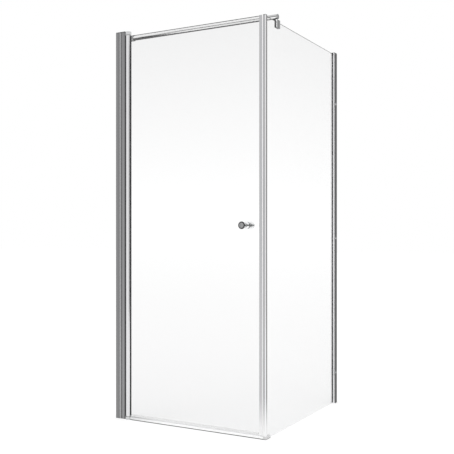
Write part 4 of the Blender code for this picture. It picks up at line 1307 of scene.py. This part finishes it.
@dataclass(frozen=True)
class Card:
    """A grey studio card that only polished metal shows."""

    name: str
    place: Vector
    facing: Vector
    half_size: Vector
    shade: Colour

    def build(self) -> None:
        """Sets the card up where it only shows in gloss."""
        shape = bmesh.new()
        bmesh.ops.create_grid(shape, x_segments=1, y_segments=1, size=1)
        bmesh.ops.scale(shape, vec=self.half_size, verts=shape.verts)
        card = placed(self.name, shape)
        material, graph = bare_material(self.name)
        values = {"Color": (*self.shade, 1), "Strength": 1.0}
        graph.surface(graph.node("ShaderNodeEmission", {}, values))
        card.data.materials.append(material)
        card.location = self.place
        card.rotation_euler = self.facing.to_track_quat("Z", "Y").to_euler()
        card.visible_camera = False
        card.visible_diffuse = False
        card.visible_transmission = False
        card.visible_volume_scatter = False
        card.visible_shadow = False


@dataclass
class Studio:
    """A plain pale floor, soft light and the camera at the photograph's angle."""

    key: Lamp = Lamp("key_lamp", place=Vector((-2.6, -3.2, 3.4)), size=2.4, power=24)
    fill: Lamp = Lamp("fill_lamp", place=Vector((3.6, -1.0, 2.6)), size=2.0, power=12)
    card: Card = Card(
        "right_card", place=Vector((4.1, -1.8, 1.6)), facing=Vector((-0.91, 0.41, 0)),
        half_size=Vector((2.2, 1.6, 1)), shade=(0.35, 0.35, 0.35),
    )
    eye: Vector = Vector((1.9596, -3.55355, 0.9649))
    turn: float = radians(29.07)
    focal_pixels: float = 750.78
    frame_pixels: float = 454.0
    sensor: float = 36.0
    horizon_drop: float = 5.03
    floor_half: float = 30.0
    floor_gap: float = 0.0005
    floor_colour: Colour = (0.45, 0.45, 0.45)
    floor_glow: float = 0.645
    ambient: float = 0.90
    beyond_glass: float = 0.07

    def camera(self) -> None:
        """Puts the camera where the photograph was taken from."""
        lens = bpy.data.cameras.new("camera")
        lens.sensor_width = self.sensor
        lens.lens = self.focal_pixels / self.frame_pixels * self.sensor
        lens.shift_y = self.horizon_drop / self.frame_pixels
        camera = bpy.data.objects.new("camera", lens)
        camera.location = self.eye
        camera.rotation_euler = (pi / 2, 0, self.turn)
        bpy.context.scene.collection.objects.link(camera)
        bpy.context.scene.camera = camera

    def backdrop_rays(self, graph: Graph) -> Wire:
        """Tells the rays that see the backdrop: from the camera, and by gloss or through glass.

        Args:
            graph: The nodes of the world or of a backdrop.

        Returns:
            1 for such a ray, and 0 for the light that falls on the object.
        """
        kinds = ("Is Camera Ray", "Is Glossy Ray", "Is Transmission Ray")
        camera, gloss, glass = (graph.node("ShaderNodeLightPath", {}, {}, kind) for kind in kinds)
        return camera.math("MAXIMUM", camera.math("MAXIMUM", camera, gloss), glass)

    def world(self) -> None:
        """A white surround that lights the object softly."""
        world = bpy.data.worlds.new("surround")
        world.use_nodes = True
        graph = Graph(world.node_tree)
        through = graph.node("ShaderNodeLightPath", {}, {}, "Is Transmission Ray")
        seen = self.backdrop_rays(graph) * (1 - self.ambient) + through * self.beyond_glass
        values = {"Color": (1, 1, 1, 1), "Strength": seen + self.ambient}
        graph.surface(graph.node("ShaderNodeBackground", {}, values), "ShaderNodeOutputWorld")
        bpy.context.scene.world = world

    def floor(self) -> None:
        """A pale floor that shows white and keeps the object's shadow."""
        shape = bmesh.new()
        bmesh.ops.create_grid(shape, x_segments=1, y_segments=1, size=self.floor_half)
        floor = placed("floor", shape)
        material, graph = bare_material("pale_floor")
        strength = self.backdrop_rays(graph) * self.floor_glow
        glow = graph.node("ShaderNodeEmission", {}, {"Strength": strength})
        matt = graph.node("ShaderNodeBsdfDiffuse", {}, {"Color": (*self.floor_colour, 1)})
        graph.surface(graph.node("ShaderNodeAddShader", {}, {0: glow, 1: matt}))
        floor.data.materials.append(material)
        floor.location.z = -self.floor_gap

    def build(self) -> None:
        """Sets the colour view, the surround, floor, lamps, card and camera."""
        bpy.context.scene.view_settings.view_transform = "Standard"
        self.world()
        self.floor()
        self.key.build()
        self.fill.build()
        self.card.build()
        self.camera()


def main() -> None:
    """Builds the studio and each sub-assembly in turn."""
    logging.basicConfig(level=logging.INFO, format="%(name)s: %(message)s")
    Studio().build()
    assemblies = [
        # The hinge channel's lip band is a painted highlight; the side wall's channel wears painted
        # shade and its jamb a painted highlight
        WallProfiles("hinge", Axis.Y, SATIN, SATIN_LIP, SATIN),
        WallProfiles("side", Axis.X, SATIN_DARK, SATIN_DARK, BRIGHT_EDGE),
        Hinge(),
        Pane("door_glass", Body.DOOR),
        Pane("side_glass", Body.FRAME),
        DoorEdges(),
        Knobs(),
        CornerPost(),
        LowRails(),
        StabiliserBar(),
        GlassClamp(),
    ]
    for assembly in assemblies:
        for made in assembly.build():
            LOG.info("%s: %s", type(assembly).__name__, made.name)


if __name__ == "__main__":
    main()
